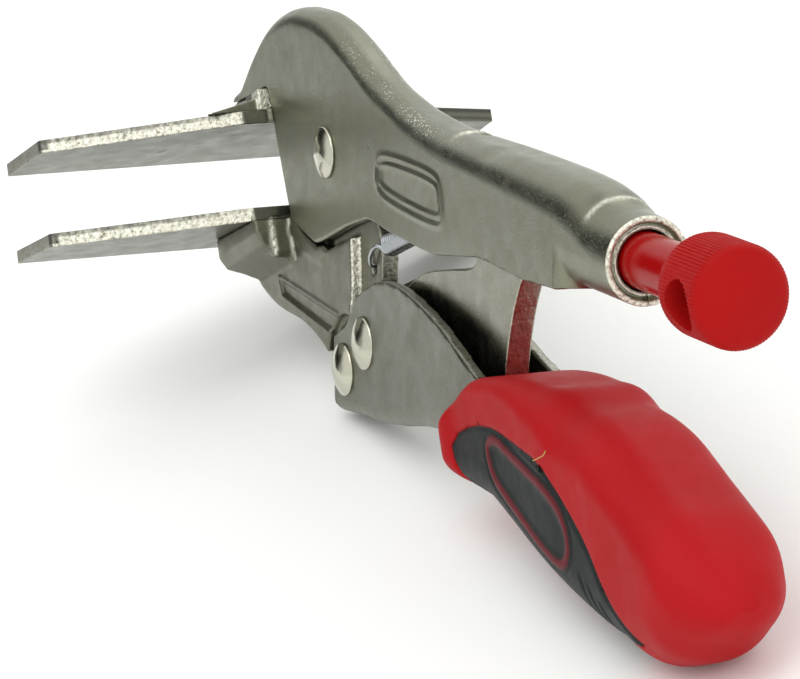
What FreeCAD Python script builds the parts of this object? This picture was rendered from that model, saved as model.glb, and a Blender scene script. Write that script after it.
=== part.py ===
import FreeCAD, Part
import os
from math import cos, sin, radians, pi, hypot, atan2, degrees
from FreeCAD import Vector as V

os.makedirs("parts", exist_ok=True)

# ---------------------------------------------------------------------------
# Driving dimensions, millimetres.  Everything is drawn in the jaw frame: X
# forward along the underside of the upper plate, Y to the left, Z up, with the
# origin on the middle of the upper plate's front edge.  At the end the whole
# tool is tipped nose-down by STAND_PITCH and then leaned onto its right side by
# STAND_ROLL, which is how it comes to rest by itself on three points: the lower
# plate's right front corner, the lever's front corner and the grip's underside.
# ---------------------------------------------------------------------------
STAND_PITCH = 25.8702        # nose-down angle of the resting tool
STAND_ROLL = 20.2609         # lean to the right
STAND_T = (107.648, -1.358, 29.511)  # shift that puts the footprint's middle at the origin

PLATE_T = 2.4              # jaw plates
PLATE_HALF = 43.7          # half width at the back corners
PLATE_SLANT = 1.1          # the ends run outwards by this towards the front
PLATE_TIP = 18.1           # depth at the tips
PLATE_MID = 30.8           # depth in the straight middle
PLATE_KINK = 9.8           # half width of the straight middle
LOW_X, LOW_Z, LOW_DEG = 1.2, -16.0, 2.6   # lower plate's front edge and tilt

SHEET = 2.0                # folded shell's sheet
LEVER_SHEET = 1.9          # lever channel's sheet
FRONT_HALF = 3.9           # half width of the shell's narrow front
AXIS_X, AXIS_Z, AXIS_DEG = -172.2, -55.4, 21.33   # screw axis at the collar's mouth
COLLAR_R = 6.82
BORE_R = 4.06
MOUTH_R = 4.75             # smooth counterbore of the collar
SCREW_R = 4.0
SLEEVE_R = 4.35
KNOB_R, KNOB_U0, KNOB_U1 = 7.8, -17.4, -32.4
HOLE_R, HOLE_U, HOLE_DEG = 3.8, -25.9, -12.0   # cross hole in the knob
TIP_U = 46.1               # screw tip, measured along the axis from the collar's mouth

PIVOT_A = (-55.3, -11.3)   # lower jaw on the shell
PIVOT_B = (-49.3, -48.5)   # lower lever on the lower jaw
PIVOT_C = (-61.5, -46.2)   # toggle link on the lever
PIVOT_D = (-123.6, -36.5)  # link's free end against the screw tip
PIN_R = 3.0
PIN_FIT = 0.05
LINK_T = 4.1
TANG_T = 3.2
ARM_T = 6.9
WEB_T = 3.8

CA, SA = cos(radians(AXIS_DEG)), sin(radians(AXIS_DEG))


def ax(u, v=0.0, y=0.0):
    """Point at u along the screw axis (forward) and v square to it (up)."""
    return V(AXIS_X + u * CA - v * SA, y, AXIS_Z + u * SA + v * CA)


def prism(pts, y0, y1):
    w = Part.makePolygon([V(x, y0, z) for x, z in pts] + [V(pts[0][0], y0, pts[0][1])])
    return Part.Face(w).extrude(V(0, y1 - y0, 0))


def smooth(pts, closed=False):
    """Rounded outline: a spline through the points, returned as dense points."""
    c = Part.BSplineCurve()
    c.interpolate([V(x, 0, z) for x, z in pts], PeriodicFlag=closed)
    n = 6 * len(pts)
    a, b = c.FirstParameter, c.LastParameter
    return [(p.x, p.z) for p in (c.value(a + (b - a) * i / n) for i in range(n + (0 if closed else 1)))]


def cyl(c, r, y0, y1):
    return Part.makeCylinder(r, y1 - y0, V(c[0], y0, c[1]), V(0, 1, 0))


def axcyl(r, u0, u1):
    return Part.makeCylinder(r, abs(u1 - u0), ax(u0), (ax(u1) - ax(u0)).normalize())


def interp(t, table):
    for (a, fa), (b, fb) in zip(table, table[1:]):
        if a <= t <= b:
            return fa + (fb - fa) * (t - a) / (b - a)
    return table[0][1] if t < table[0][0] else table[-1][1]


def round_box(place, w, top, bot, rt, rb):
    """Closed rounded section, eight edges, in the plane that place(y, v) gives."""
    rt = min(rt, w - 0.02, (top - bot) / 2 - 0.02)
    rb = min(rb, w - 0.02, (top - bot) / 2 - 0.02)
    k = 0.70710678

    def arc(cy, cv, r, a0, a1):
        am = (a0 + a1) / 2
        p = [place(cy + r * cos(radians(a)), cv + r * sin(radians(a))) for a in (a0, am, a1)]
        return Part.Arc(*p).toShape()

    def line(p, q):
        return Part.LineSegment(place(*p), place(*q)).toShape()
    e = [
        line((-w + rb, bot), (w - rb, bot)), arc(w - rb, bot + rb, rb, -90, 0),
        line((w, bot + rb), (w, top - rt)), arc(w - rt, top - rt, rt, 0, 90),
        line((w - rt, top), (-w + rt, top)), arc(-w + rt, top - rt, rt, 90, 180),
        line((-w, top - rt), (-w, bot + rb)), arc(-w + rb, bot + rb, rb, 180, 270),
    ]
    return Part.Wire(e)


def loft(wires, ruled=True):
    s = Part.makeLoft(wires, True, ruled)
    if s.Volume < 0:
        s.reverse()
    return s


def dome_head(c, y, side, r, h):
    """Domed rivet head standing on the plane y, with a short straight rim."""
    rim = 0.45
    rs = (r * r + (h - rim) ** 2) / (2 * (h - rim))
    base = Part.makeCylinder(r, h + 1, V(c[0], y, c[1]), V(0, side, 0))
    ball = Part.makeSphere(rs, V(c[0], y + side * (h - rs), c[1]))
    return base.common(ball)


def rivet(c, y0, y1, r_head, h):
    s = cyl(c, PIN_R, y0, y1)
    return s.fuse([dome_head(c, y1, 1, r_head, h), dome_head(c, y0, -1, r_head, h)]).removeSplitter()


parts = {}

# ---------------------------------------------------------------------------
# Jaw plates: swept wings, one thickness, straight middle stretch at the back.
# ---------------------------------------------------------------------------


def plate():
    h, s = PLATE_HALF, PLATE_SLANT
    pts = [(0, h + s), (-PLATE_TIP, h), (-PLATE_MID, PLATE_KINK), (-PLATE_MID, -PLATE_KINK),
           (-PLATE_TIP, -h), (0, -h - s)]
    w = Part.makePolygon([V(x, y, 0) for x, y in pts] + [V(pts[0][0], pts[0][1], 0)])
    return Part.Face(w).extrude(V(0, 0, PLATE_T))


parts["upper_jaw_plate"] = plate()
low = plate()
low.rotate(V(0, 0, 0), V(0, -1, 0), LOW_DEG)
low.translate(V(LOW_X, 0, LOW_Z))
parts["lower_jaw_plate"] = low


def on_low(x, z):
    """Point given along and above the lower plate's underside."""
    d = radians(LOW_DEG)
    return LOW_X + x * cos(d) - z * sin(d), LOW_Z + x * sin(d) + z * cos(d)


# ---------------------------------------------------------------------------
# Upper handle shell: one sheet folded over the top, narrow nose, wider handle,
# rolled into a tube at the back with a seam underneath.
# ---------------------------------------------------------------------------
TOP = [(0, 6.82), (3.5, 6.82), (6.5, 7.15), (10, 8.0), (14, 9.05), (20, 9.6), (34, 9.85), (50, 9.85), (64, 9.75), (72, 9.75),
       (81, 10.3), (88, 11.0), (95, 12.2), (102, 13.8), (108, 15.7), (114, 17.9), (119.5, 19.7), (126, 21.3),
       (133, 22.1), (140, 21.95), (146, 21.0), (151, 19.4), (156, 16.9), (160.5, 13.6), (164.5, 10.1),
       (168, 6.6), (171, 3.8), (173, 2.2)]
HALF = [(0, 6.82), (20, 6.85), (34, 6.75), (50, 6.35), (64, 5.8), (72, 5.3), (81, 4.8), (88, 4.45), (95, 4.1),
        (102, FRONT_HALF), (173, FRONT_HALF)]
RAD = [(0, 6.8), (6.5, 6.75), (14, 6.4), (20, 6.0), (34, 5.4), (50, 4.9), (64, 4.5), (81, 3.9), (95, 3.5),
       (173, 3.3)]
stations = sorted([u for u, _ in TOP] + [17.4, 18.6])
outer, inner = [], []
for u in stations:
    w, t, r = interp(u, HALF), interp(u, TOP), interp(u, RAD)
    place = (lambda uu: lambda y, v: ax(uu, v, y))(u)
    if u <= 14:
        bot, rb = -6.82, 6.8
    elif u <= 17.5:
        bot, rb = -6.9, 6.7
    else:
        bot, rb = -32.0, 0.6
    outer.append(round_box(place, w, t, bot, r, rb))
    if u >= 20:
        wi = w - SHEET
        inner.append(round_box(place, wi, t - SHEET, -40.0, max(0.5, r - SHEET), 0.3))
place = (lambda y, v: ax(18.6, v, y))
inner.insert(0, round_box(place, BORE_R + 0.1, BORE_R + 0.1, -40.0, BORE_R, 0.3))
w_end = interp(173, HALF) - SHEET
inner.append(round_box(lambda y, v: ax(176, v, y), w_end, 0.4, -40.0, 1.2, 0.3))
shell = loft(outer).cut(loft(inner))

# Side outline of the two walls (what is below it is cut away).
keep = [(-10.0, 40.0), (-12.3, 9.0), (-20.0, 8.3), (-30.2, 7.4), (-31.4, 6.6), (-31.5, -0.7), (-33.2, -16.6), (-34.6, -18.4),
        (-37.0, -20.4), (-43.6, -24.6), (-47.5, -25.3), (-60.0, -25.5), (-70.0, -26.3), (-74.0, -27.9), (-78.5, -30.2),
        (-95.2, -36.9), (-102.5, -39.4), (-112.9, -41.7), (-121.2, -43.6), (-125.0, -44.9), (-140.1, -51.2),
        (-149.0, -54.0), (-153.4, -55.6), (-154.2, -62.0), (-200.0, -82.0), (-200.0, 40.0)]
shell = shell.common(prism(keep, -20, 20))
shell = shell.cut(axcyl(BORE_R, -5, 24))
shell = shell.cut(axcyl(MOUTH_R, -5, 9.0))
# Countersunk mouth between the two rims of the collar.
cs = Part.makeCone(MOUTH_R + 1.0, MOUTH_R - 0.2, 1.2, ax(-0.01), (ax(1) - ax(0)).normalize())
shell = shell.cut(cs)
# Seam where the sheet's two edges meet under the tube.
seam = Part.makeBox(24, 0.35, 6.0, V(0, -0.175, 0))
seam.rotate(V(0, 0, 0), V(0, -1, 0), AXIS_DEG)
b = ax(-1.0, -9.3)
seam.translate(V(b.x, 0, b.z))
shell = shell.cut(seam)
shell = shell.cut(cyl(PIVOT_A, PIN_R, -20, 20))
if len(shell.Solids) > 1:
    shell = max(shell.Solids, key=lambda s: s.Volume)
parts["upper_handle_shell"] = shell

# ---------------------------------------------------------------------------
# Upper jaw web: flat core between the walls of the nose, with flanks that flare
# out on top of the plate and a small lug at the plate's back edge on each side.
# ---------------------------------------------------------------------------
core = prism([(-13.2, PLATE_T), (-13.2, 6.0), (-14.0, 7.2), (-17.3, 9.4), (-21.0, 11.2), (-26.5, 13.6), (-32.5, 15.0), (-40.0, 15.5), (-45.0, 15.2),
              (-47.8, 13.0), (-48.0, 2.0), (-44.0, -1.0), (-39.0, -2.8), (-31.6, -2.8), (-30.9, -0.2), (-30.9, PLATE_T)], -WEB_T / 2, WEB_T / 2)


def flank(x, wb, wt, zt):
    pts = [(-wb, PLATE_T), (wb, PLATE_T), (wt, zt), (-wt, zt)]
    return Part.makePolygon([V(x, y, z) for y, z in pts] + [V(x, pts[0][0], pts[0][1])])


wing = loft([flank(-30.2, 15.6, 3.3, 5.2), flank(-22.0, 13.2, 3.1, 7.1), flank(-12.4, 9.6, 2.6, 8.9),
             flank(-6.0, 6.8, 1.6, 5.7), flank(-2.8, 5.6, 1.0, 3.5)])
lugs = [Part.makeBox(7.0, 2.4, 4.1, V(-30.8, s * 4.65 - 1.2, PLATE_T - 0.2)) for s in (1, -1)]
web = core.fuse([wing] + lugs).cut(parts["upper_jaw_plate"]).cut(parts["upper_handle_shell"]).removeSplitter()
if len(web.Solids) > 1:
    web = max(web.Solids, key=lambda s: s.Volume)
parts["upper_jaw_web"] = web

# ---------------------------------------------------------------------------
# Lower jaw arm: thick forged body, flared under the plate, with a thin tang
# that goes up between the shell's walls and down between the lever's ears.
# ---------------------------------------------------------------------------
T0 = -0.05
arm_low = smooth([on_low(-9.6, T0), (-7.9, -20.4), (-9.4, -24.0), (-13.9, -28.2), (-19.6, -31.7), (-29.9, -36.1), (-35.4, -39.4),
                  (-41.2, -44.3)])
thick = arm_low + [(-44.0, -47.0), (-53.4, -43.0), (-55.4, -38.9), (-57.6, -35.4), (-60.3, -27.6), (-47.0, -27.0), (-42.6, -26.0), (-36.4, -21.6),
                   (-34.2, -20.0), on_low(-33.6, T0)]
body = prism(thick, -ARM_T / 2, ARM_T / 2)
body = body.cut(cyl(PIVOT_B, 9.5, -20, 20))
tang = prism([(-36.0, -22.0), (-40.5, -12.0), (-46.5, -5.4), (-50.5, -3.2), (-55.3, -2.3), (-60.5, -3.9), (-63.7, -8.0), (-65.6, -14.0),
              (-67.6, -22.0), (-69.6, -29.0), (-69.2, -32.6), (-67.1, -37.0), (-62.6, -39.2), (-56.0, -42.0), (-55.3, -46.5),
              (-54.6, -51.6), (-51.6, -54.2), (-48.0, -54.6), (-44.6, -52.5), (-43.2, -49.4), (-41.0, -44.6), (-36.0, -38.0)],
             -TANG_T / 2, TANG_T / 2)


def flare(x0, x1, w, z_up, z):
    p = [(x0, -w), (x1, -w), (x1, w), (x0, w)]
    return Part.makePolygon([V(x, y, z) for x, y in p] + [V(p[0][0], p[0][1], z)])


flare_s = loft([flare(-31.2, -8.8, 10.0, 0, -14.5), flare(-31.2, -8.8, 10.0, 0, -20.0), flare(-30.8, -9.2, 8.9, 0, -22.2),
                flare(-30.4, -10.4, 6.4, 0, -23.4), flare(-29.6, -12.4, 3.6, 0, -25.4)])
boss = prism([(-31.4, -14.5), (-31.4, -23.8), (-30.2, -24.6), (-27.0, -23.2), (-25.0, -14.5)], -7.1, 7.1)
under = prism([on_low(5, -0.01), on_low(-33.0, -0.01), (-34.2, -10.0), (-80, -10.0), (-80, -65), (5, -65)], -30, 30)
head = flare_s.fuse(boss).common(under)
arm = body.common(under).fuse([tang, head]).removeSplitter()
arm = arm.cut(cyl(PIVOT_A, PIN_R + PIN_FIT, -20, 20)).cut(cyl(PIVOT_B, PIN_R + PIN_FIT, -20, 20))
# Hole for the spring's hook.
slot = prism([(-63.2, -30.4), (-65.3, -30.6), (-65.5, -34.9), (-63.5, -34.9)], -3, 3)
arm = arm.cut(slot)
# Recessed bar, left bare, on both faces.
ang = atan2(-39.7 + 26.7, -50.4 + 21.8)
for s in (1, -1):
    rec = prism([(-22.0, -26.9), (-22.4, -29.9), (-46.6, -42.0), (-48.6, -39.0)], s * ARM_T / 2 - 0.35, s * ARM_T / 2 + 0.35)
    arm = arm.cut(rec)
# Side marks of the arm stay clear of the shell's walls.
arm = arm.cut(prism([(-31.0, 0), (-31.2, -16.9), (-33.7, -17.6), (-36.0, -21.0), (-43.0, -25.4), (-47.0, -26.1), (-60.5, -26.6), (-80, -26.6), (-80, 0)], TANG_T / 2, 20))
arm = arm.cut(prism([(-31.0, 0), (-31.2, -16.9), (-33.7, -17.6), (-36.0, -21.0), (-43.0, -25.4), (-47.0, -26.1), (-60.5, -26.6), (-80, -26.6), (-80, 0)], -20, -TANG_T / 2))
if len(arm.Solids) > 1:
    arm = max(arm.Solids, key=lambda s: s.Volume)
parts["lower_jaw_arm"] = arm

# ---------------------------------------------------------------------------
# Weld beads.
# ---------------------------------------------------------------------------


def bead(p, q, r):
    d = q - p
    s = Part.makeCylinder(r, d.Length, p, d)
    return s.fuse([Part.makeSphere(r, p), Part.makeSphere(r, q)]).removeSplitter()


def beads(ends, r, cut):
    out = []
    for p, q in ends:
        for s in (1, -1):
            k = bead(V(p[0], s * p[1], p[2]), V(q[0], s * q[1], q[2]), r)
            for c in cut:
                k = k.cut(c)
            out.append(max(k.Solids, key=lambda z: z.Volume))
    return Part.makeCompound(out)


below_face = Part.makeBox(60.0, 60.0, 10.0, V(-50.0, -30.0, -9.95))
parts["upper_jaw_welds"] = beads([((-31.15, FRONT_HALF + 0.15, 0.3), (-31.15, FRONT_HALF + 0.15, 1.9))], 0.9,
                                 [parts["upper_jaw_plate"], parts["upper_handle_shell"], parts["upper_jaw_web"], below_face])
a, b = on_low(-PLATE_MID - 0.2, -0.1), on_low(-PLATE_MID - 0.2, 0.0)
parts["lower_jaw_welds"] = beads([((a[0], 1.2, a[1]), (a[0], 6.2, a[1]))], 0.8,
                                 [parts["lower_jaw_plate"], parts["lower_jaw_arm"]])

# ---------------------------------------------------------------------------
# Lower lever: folded channel, open towards the upper handle, two flat ears at
# the front, wider towards the back where the grip covers it.
# ---------------------------------------------------------------------------
LEV_DEG = 22.0
CL, SL = cos(radians(LEV_DEG)), sin(radians(LEV_DEG))


def lv(p, q, y=0.0):
    return V(PIVOT_B[0] - p * CL - q * SL, y, PIVOT_B[1] - p * SL + q * CL)


def to_lv(x, z):
    dx, dz = x - PIVOT_B[0], z - PIVOT_B[1]
    return -dx * CL - dz * SL, -dx * SL + dz * CL


LOWER = [(-41.0, -54.6), (-45.8, -55.8), (-53.5, -57.9), (-60.2, -60.1), (-71.7, -62.6), (-82.2, -64.4), (-95.3, -67.8),
         (-104.0, -71.4), (-114.0, -77.0), (-128.0, -84.6), (-143.0, -92.2), (-158.0, -99.0), (-168.0, -102.6)]
LHALF = [(-14, 3.95), (4, 3.95), (13, 4.3), (24, 4.95), (36, 5.7), (50, 6.55), (62, 7.2), (78, 7.5), (140, 7.5)]
LRAD = [(-14, 2.6), (13, 2.8), (36, 3.6), (62, 4.6), (140, 5.0)]
lo_out, lo_in = [], []
for i, (x, z) in enumerate(LOWER):
    p, q = to_lv(x, z)
    w, r = interp(p, LHALF), interp(p, LRAD)
    place = (lambda pp: lambda y, v: lv(pp, v, y))(p)
    lo_out.append(round_box(place, w, 26.0, q, 0.3, r))
    lo_in.append(round_box(place, w - LEVER_SHEET, 32.0, q + LEVER_SHEET, 0.3, max(0.5, r - LEVER_SHEET)))
lever = loft(lo_out).cut(loft(lo_in))
ears = smooth([(-58.9, -38.1), (-62.8, -37.6), (-68.0, -37.4), (-73.0, -37.8), (-79.1, -39.2), (-85.6, -41.6), (-93.1, -45.4), (-103.4, -51.6),
               (-112.0, -58.2), (-118.5, -63.2)])
hull = ears + [(-126.0, -68.6), (-136.0, -74.6), (-150.0, -82.4), (-164.0, -90.4), (-166.5, -94.0), (-166.5, -104.0), (-143.0, -96.0),
               (-114.0, -82.0), (-95.3, -71.0), (-60.0, -63.5)]
for i in range(0, 20):
    t = radians(255 + i * 150 / 19.0)
    hull.append((PIVOT_B[0] + 8.9 * cos(t), PIVOT_B[1] + 8.9 * sin(t)))
hull += [(-52.6, -41.4), (-55.6, -40.3)]
lever = lever.common(prism(hull, -20, 20))
# The fold stops short of the ears, so that the jaw arm can pass between them.
lever = lever.cut(prism([(-30, -30), (-52.5, -30), (-57.6, -54.0), (-57.6, -80), (-30, -80)], -(3.95 - LEVER_SHEET), 3.95 - LEVER_SHEET))
lever = lever.cut(cyl(PIVOT_B, PIN_R, -20, 20)).cut(cyl(PIVOT_C, PIN_R, -20, 20))
if len(lever.Solids) > 1:
    lever = max(lever.Solids, key=lambda s: s.Volume)
parts["lower_lever_channel"] = lever

# ---------------------------------------------------------------------------
# Toggle link.
# ---------------------------------------------------------------------------
link_pts = [(-56.4, -44.6), (-58.6, -41.6), (-62.0, -40.6), (-70.0, -40.9), (-78.0, -40.4), (-84.5, -39.6), (-90.0, -39.6), (-100.0, -41.4), (-108.6, -43.2), (-111.6, -42.6),
            (-114.6, -39.0), (-118.6, -34.6)]
for i in range(12):
    t = radians(95 + i * 165 / 11.0)
    link_pts.append((PIVOT_D[0] + 5.3 * cos(t), PIVOT_D[1] + 5.3 * sin(t)))
link_pts += [(-125.4, -44.6), (-128.9, -46.6), (-129.6, -48.6), (-126.6, -50.4), (-122.9, -53.6), (-119.4, -57.6), (-116.6, -61.6), (-114.4, -66.0), (-112.6, -67.6), (-108.0, -65.8),
             (-100.0, -60.6), (-90.0, -55.6), (-78.0, -52.8), (-66.0, -51.2), (-62.0, -51.8), (-58.6, -51.0), (-56.2, -48.4)]
link = prism(link_pts, -LINK_T / 2, LINK_T / 2).cut(cyl(PIVOT_C, PIN_R + PIN_FIT, -20, 20))
parts["toggle_link"] = link

# ---------------------------------------------------------------------------
# Rivets with domed heads.
# ---------------------------------------------------------------------------
parts["jaw_pivot_rivet"] = rivet(PIVOT_A, -FRONT_HALF, FRONT_HALF, 4.55, 1.7)
parts["lever_pivot_rivet"] = rivet(PIVOT_B, -3.95, 3.95, 4.6, 1.9).cut(parts["lower_lever_channel"])
hc = interp(to_lv(*PIVOT_C)[0], LHALF)
rc = rivet(PIVOT_C, -hc - 0.02, hc + 0.02, 4.6, 1.8)
parts["link_pivot_rivet"] = rc.cut(parts["lower_lever_channel"])

# ---------------------------------------------------------------------------
# Adjusting screw, its red neck and the knob.
# ---------------------------------------------------------------------------
screw = axcyl(SCREW_R, -24.0, TIP_U - 1.2)
tip = Part.makeCone(SCREW_R, SCREW_R - 1.2, 1.2, ax(TIP_U - 1.2), (ax(1) - ax(0)).normalize())
screw = screw.fuse(tip).removeSplitter()
neck = axcyl(SCREW_R - 0.9, -21.4, 8.0)
screw = screw.cut(axcyl(SCREW_R + 2, -40.0, 8.0)).fuse(neck).removeSplitter()
parts["adjusting_screw"] = screw
parts["screw_sleeve"] = axcyl(SLEEVE_R, KNOB_U0 + 0.05, 7.6).cut(axcyl(SCREW_R - 0.75, -40.0, 20.0))

rev = [(KNOB_U0, 0.0), (KNOB_U0, 5.6), (KNOB_U0 - 1.2, 7.0), (KNOB_U0 - 2.4, KNOB_R), (KNOB_U1 + 1.9, KNOB_R), (KNOB_U1 + 0.9, 7.2), (KNOB_U1, 5.6),
       (KNOB_U1 - 0.5, 3.0), (KNOB_U1 - 0.7, 0.0)]
w = Part.makePolygon([ax(u, v) for u, v in rev] + [ax(*rev[0])])
knob = Part.Face(w).revolve(ax(0), (ax(1) - ax(0)).normalize(), 360)
knob = knob.cut(axcyl(SCREW_R - 0.9, -21.4, 0))
# Cross hole for a bar, right through.
hdir = V(-SA * sin(radians(HOLE_DEG)), cos(radians(HOLE_DEG)), CA * sin(radians(HOLE_DEG)))
knob = knob.cut(Part.makeCylinder(HOLE_R, 24.0, ax(HOLE_U) - hdir * 12.0, hdir))
parts["adjusting_knob"] = knob

# ---------------------------------------------------------------------------
# Return spring: close-wound coil drawn as its tube, with a hook at each end.
# ---------------------------------------------------------------------------
S0, S1 = V(-69.8, 0, -31.0), V(-95.5, 0, -31.8)
d = (S1 - S0)
tube = Part.makeCylinder(2.15, d.Length, S0, d).cut(Part.makeCylinder(1.45, d.Length + 2, S0 - d.normalize(), d))
WIRE = 0.45


def wire(pts):
    s = None
    for p, q in zip(pts, pts[1:]):
        k = Part.makeCylinder(WIRE, (q - p).Length, p, q - p).fuse(Part.makeSphere(WIRE, q))
        s = k if s is None else s.fuse(k)
    return s


hook0 = wire([V(-70.6, 2.4, -31.4), V(-68.0, 2.35, -30.9), V(-65.8, 2.25, -31.9), V(-64.5, 2.2, -33.4), V(-64.5, -2.2, -33.4)])
hook1 = wire([V(-94.8, 0, -29.4), V(-97.6, 0, -28.6), V(-100.4, 0, -27.6), V(-102.0, 0, -25.6)])
spring = tube.fuse([hook0, hook1]).removeSplitter()
parts["return_spring"] = spring

# ---------------------------------------------------------------------------
# Grip: red moulded sleeve over the lever, with an inlaid side panel each side.
# ---------------------------------------------------------------------------
GRIP = [  # x, z top, z bottom, half width, corner radii
    (-100.4, -69.0, -72.0, 7.6, 1.2, 1.4),
    (-102.0, -67.6, -74.2, 9.0, 2.0, 2.6),
    (-105.0, -65.46, -76.44, 10.02, 2.6, 4.4),
    (-109.5, -63.68, -79.62, 9.15, 3.2, 6.4),
    (-112.0, -62.83, -81.02, 9.1, 3.4, 7.0),
    (-116.0, -62.23, -83.208, 9.15, 3.6, 7.8),
    (-124.0, -63.25, -89.188, 9.3, 3.8, 8.5),
    (-133.0, -65.44, -95.758, 9.65, 4.0, 8.8),
    (-139.0, -67.63, -99.5637, 10.03, 4.2, 9.0),
    (-144.0, -69.22, -102.6295, 10.2, 4.4, 9.2),
    (-149.0, -72.65, -105.9252, 10.0, 4.6, 9.5),
    (-156.0, -76.08, -109.7152, 10.05, 4.8, 9.8),
    (-160.0, -78.62, -111.3852, 10.25, 5.0, 10.0),
    (-167.0, -84.27, -114.8152, 10.25, 5.6, 9.9),
    (-174.0, -90.23, -115.1452, 10.6, 6.4, 9.4),
    (-178.95, -94.2, -112.4952, 10.5, 6.8, 8.6),
    (-182.95, -99.7, -112.3052, 8.07, 6.2, 6.2),
    (-185.75, -103.54, -111.2352, 5.03, 3.7, 3.7),
    (-186.95, -106.59, -110.3152, 1.86, 1.7, 1.7),
]


def grip_loft(off):
    ws = []
    n = len(GRIP)
    for i, (x, zt, zb, w, rt, rb) in enumerate(GRIP):
        k = off if i < n - 3 else off * (1 - 0.15 * (i - n + 4))
        ws.append(round_box((lambda xx: lambda y, v: V(xx, y, v))(x), w - k, zt - k, zb + k, max(rt - k, 0.6), max(rb - k, 0.6)))
    return loft(ws)


g_out = grip_loft(0.0)
env = []
for i, (x, z) in enumerate(LOWER):
    p, q = to_lv(x, z)
    env.append(round_box((lambda pp: lambda y, v: lv(pp, v, y))(p), interp(p, LHALF), 26.0, q, 0.3, interp(p, LRAD)))
hull2 = ears + [(-126.0, -68.6), (-136.0, -74.6), (-150.0, -82.4), (-164.0, -90.4), (-166.5, -94.0), (-166.5, -104.0), (-143.0, -96.0),
                (-114.0, -82.0), (-95.3, -71.0), (-60.0, -63.5)]
cavity = loft(env).common(prism(hull2, -20, 20))
# Slot in the sleeve's front, over the open channel, for the link.
notch = prism([(-90.0, -50.0), (-121.0, -50.0), (-121.0, -70.0), (-90.0, -70.0)], -3.2, 3.2)
sleeve = g_out.cut(cavity).cut(notch)
# Panels: a skin 1.0 deep on each side.
side = smooth([(-107.7, -74.5), (-107.5, -71.2), (-109.8, -69.6), (-114.0, -69.5), (-119.0, -70.0), (-124.5, -71.4), (-130.0, -73.8), (-135.3, -76.2),
               (-140.2, -78.4), (-144.4, -81.2), (-148.0, -85.2), (-151.2, -88.6), (-154.6, -92.6), (-157.6, -96.8), (-160.2, -101.2),
               (-162.8, -105.0), (-166.3, -109.2)])
side += [(-169.0, -113.0), (-166.0, -119.0), (-150.0, -114.0), (-130.0, -103.0), (-112.0, -90.0), (-107.9, -86.0)]
core2 = grip_loft(1.0)
pan = g_out.common(prism(side, 1.6, 14.0)).cut(core2).cut(cavity)
if len(pan.Solids) > 1:
    pan = max(pan.Solids, key=lambda z: z.Volume)
for nm, p in (("left", pan), ("right", pan.mirror(V(0, 0, 0), V(0, 1, 0)))):
    sleeve = sleeve.cut(p)
    parts["grip_panel_" + nm] = p
if len(sleeve.Solids) > 1:
    sleeve = max(sleeve.Solids, key=lambda z: z.Volume)
parts["grip_sleeve"] = sleeve

# ---------------------------------------------------------------------------
# Stand the tool on the table and write one file per piece.
# ---------------------------------------------------------------------------
box = None
for name in sorted(parts):
    s = parts[name].copy()
    s.rotate(V(0, 0, 0), V(0, 1, 0), STAND_PITCH)
    s.rotate(V(0, 0, 0), V(1, 0, 0), STAND_ROLL)
    s.translate(V(*STAND_T))
    parts[name] = s
    s.exportStep("parts/" + name + ".step")
    bb = s.optimalBoundingBox(True, False)
    box = bb if box is None else box.united(bb)
    print("%-22s solids %d valid %s vol %.1f  z %.3f..%.3f" % (name, len(s.Solids), s.isValid(), s.Volume, bb.ZMin, bb.ZMax))
print("box x %.3f %.3f y %.3f %.3f z %.3f %.3f" % (box.XMin, box.XMax, box.YMin, box.YMax, box.ZMin, box.ZMax))
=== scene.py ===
import math

import bmesh
import bpy
import numpy as np
from mathutils import Matrix, Vector


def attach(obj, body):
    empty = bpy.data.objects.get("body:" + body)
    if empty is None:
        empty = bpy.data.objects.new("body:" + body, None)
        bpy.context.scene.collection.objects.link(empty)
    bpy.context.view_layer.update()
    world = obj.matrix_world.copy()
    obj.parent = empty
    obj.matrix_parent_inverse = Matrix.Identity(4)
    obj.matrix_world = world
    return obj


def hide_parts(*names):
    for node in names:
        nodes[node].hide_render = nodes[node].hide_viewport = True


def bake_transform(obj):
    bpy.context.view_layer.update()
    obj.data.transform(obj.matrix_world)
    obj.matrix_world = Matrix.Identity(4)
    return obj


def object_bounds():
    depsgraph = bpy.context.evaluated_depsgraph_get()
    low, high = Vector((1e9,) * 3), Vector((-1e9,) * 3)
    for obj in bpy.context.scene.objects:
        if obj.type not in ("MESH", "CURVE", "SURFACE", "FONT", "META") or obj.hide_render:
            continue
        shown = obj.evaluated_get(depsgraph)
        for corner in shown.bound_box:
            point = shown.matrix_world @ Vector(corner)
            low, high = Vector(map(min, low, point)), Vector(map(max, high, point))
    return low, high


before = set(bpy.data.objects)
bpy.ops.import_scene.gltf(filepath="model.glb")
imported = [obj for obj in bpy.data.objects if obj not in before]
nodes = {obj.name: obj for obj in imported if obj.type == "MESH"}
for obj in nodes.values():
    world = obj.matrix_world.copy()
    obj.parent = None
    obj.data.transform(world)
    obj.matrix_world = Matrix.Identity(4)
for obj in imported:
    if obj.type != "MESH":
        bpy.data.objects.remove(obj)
b0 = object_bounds()

# ---------------------------------------------------------------------------
# Tool frame (mm): X forward along the underside of the upper plate, Y left, Z up.
# The resting tool is pitched, then rolled, then shifted.
# ---------------------------------------------------------------------------
PITCH, ROLL, SHIFT = 25.8702, 20.2609, np.array([107.648, -1.358, 29.511])
cp, sp = math.cos(math.radians(PITCH)), math.sin(math.radians(PITCH))
cr, sr = math.cos(math.radians(ROLL)), math.sin(math.radians(ROLL))
ROT = np.array([[1, 0, 0], [0, cr, -sr], [0, sr, cr]]) @ np.array([[cp, 0, sp], [0, 1, 0], [-sp, 0, cp]])


def row(v):
    return (np.atleast_2d(np.asarray(v, float)) @ ROT.T + SHIFT) / 1000.0


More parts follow.
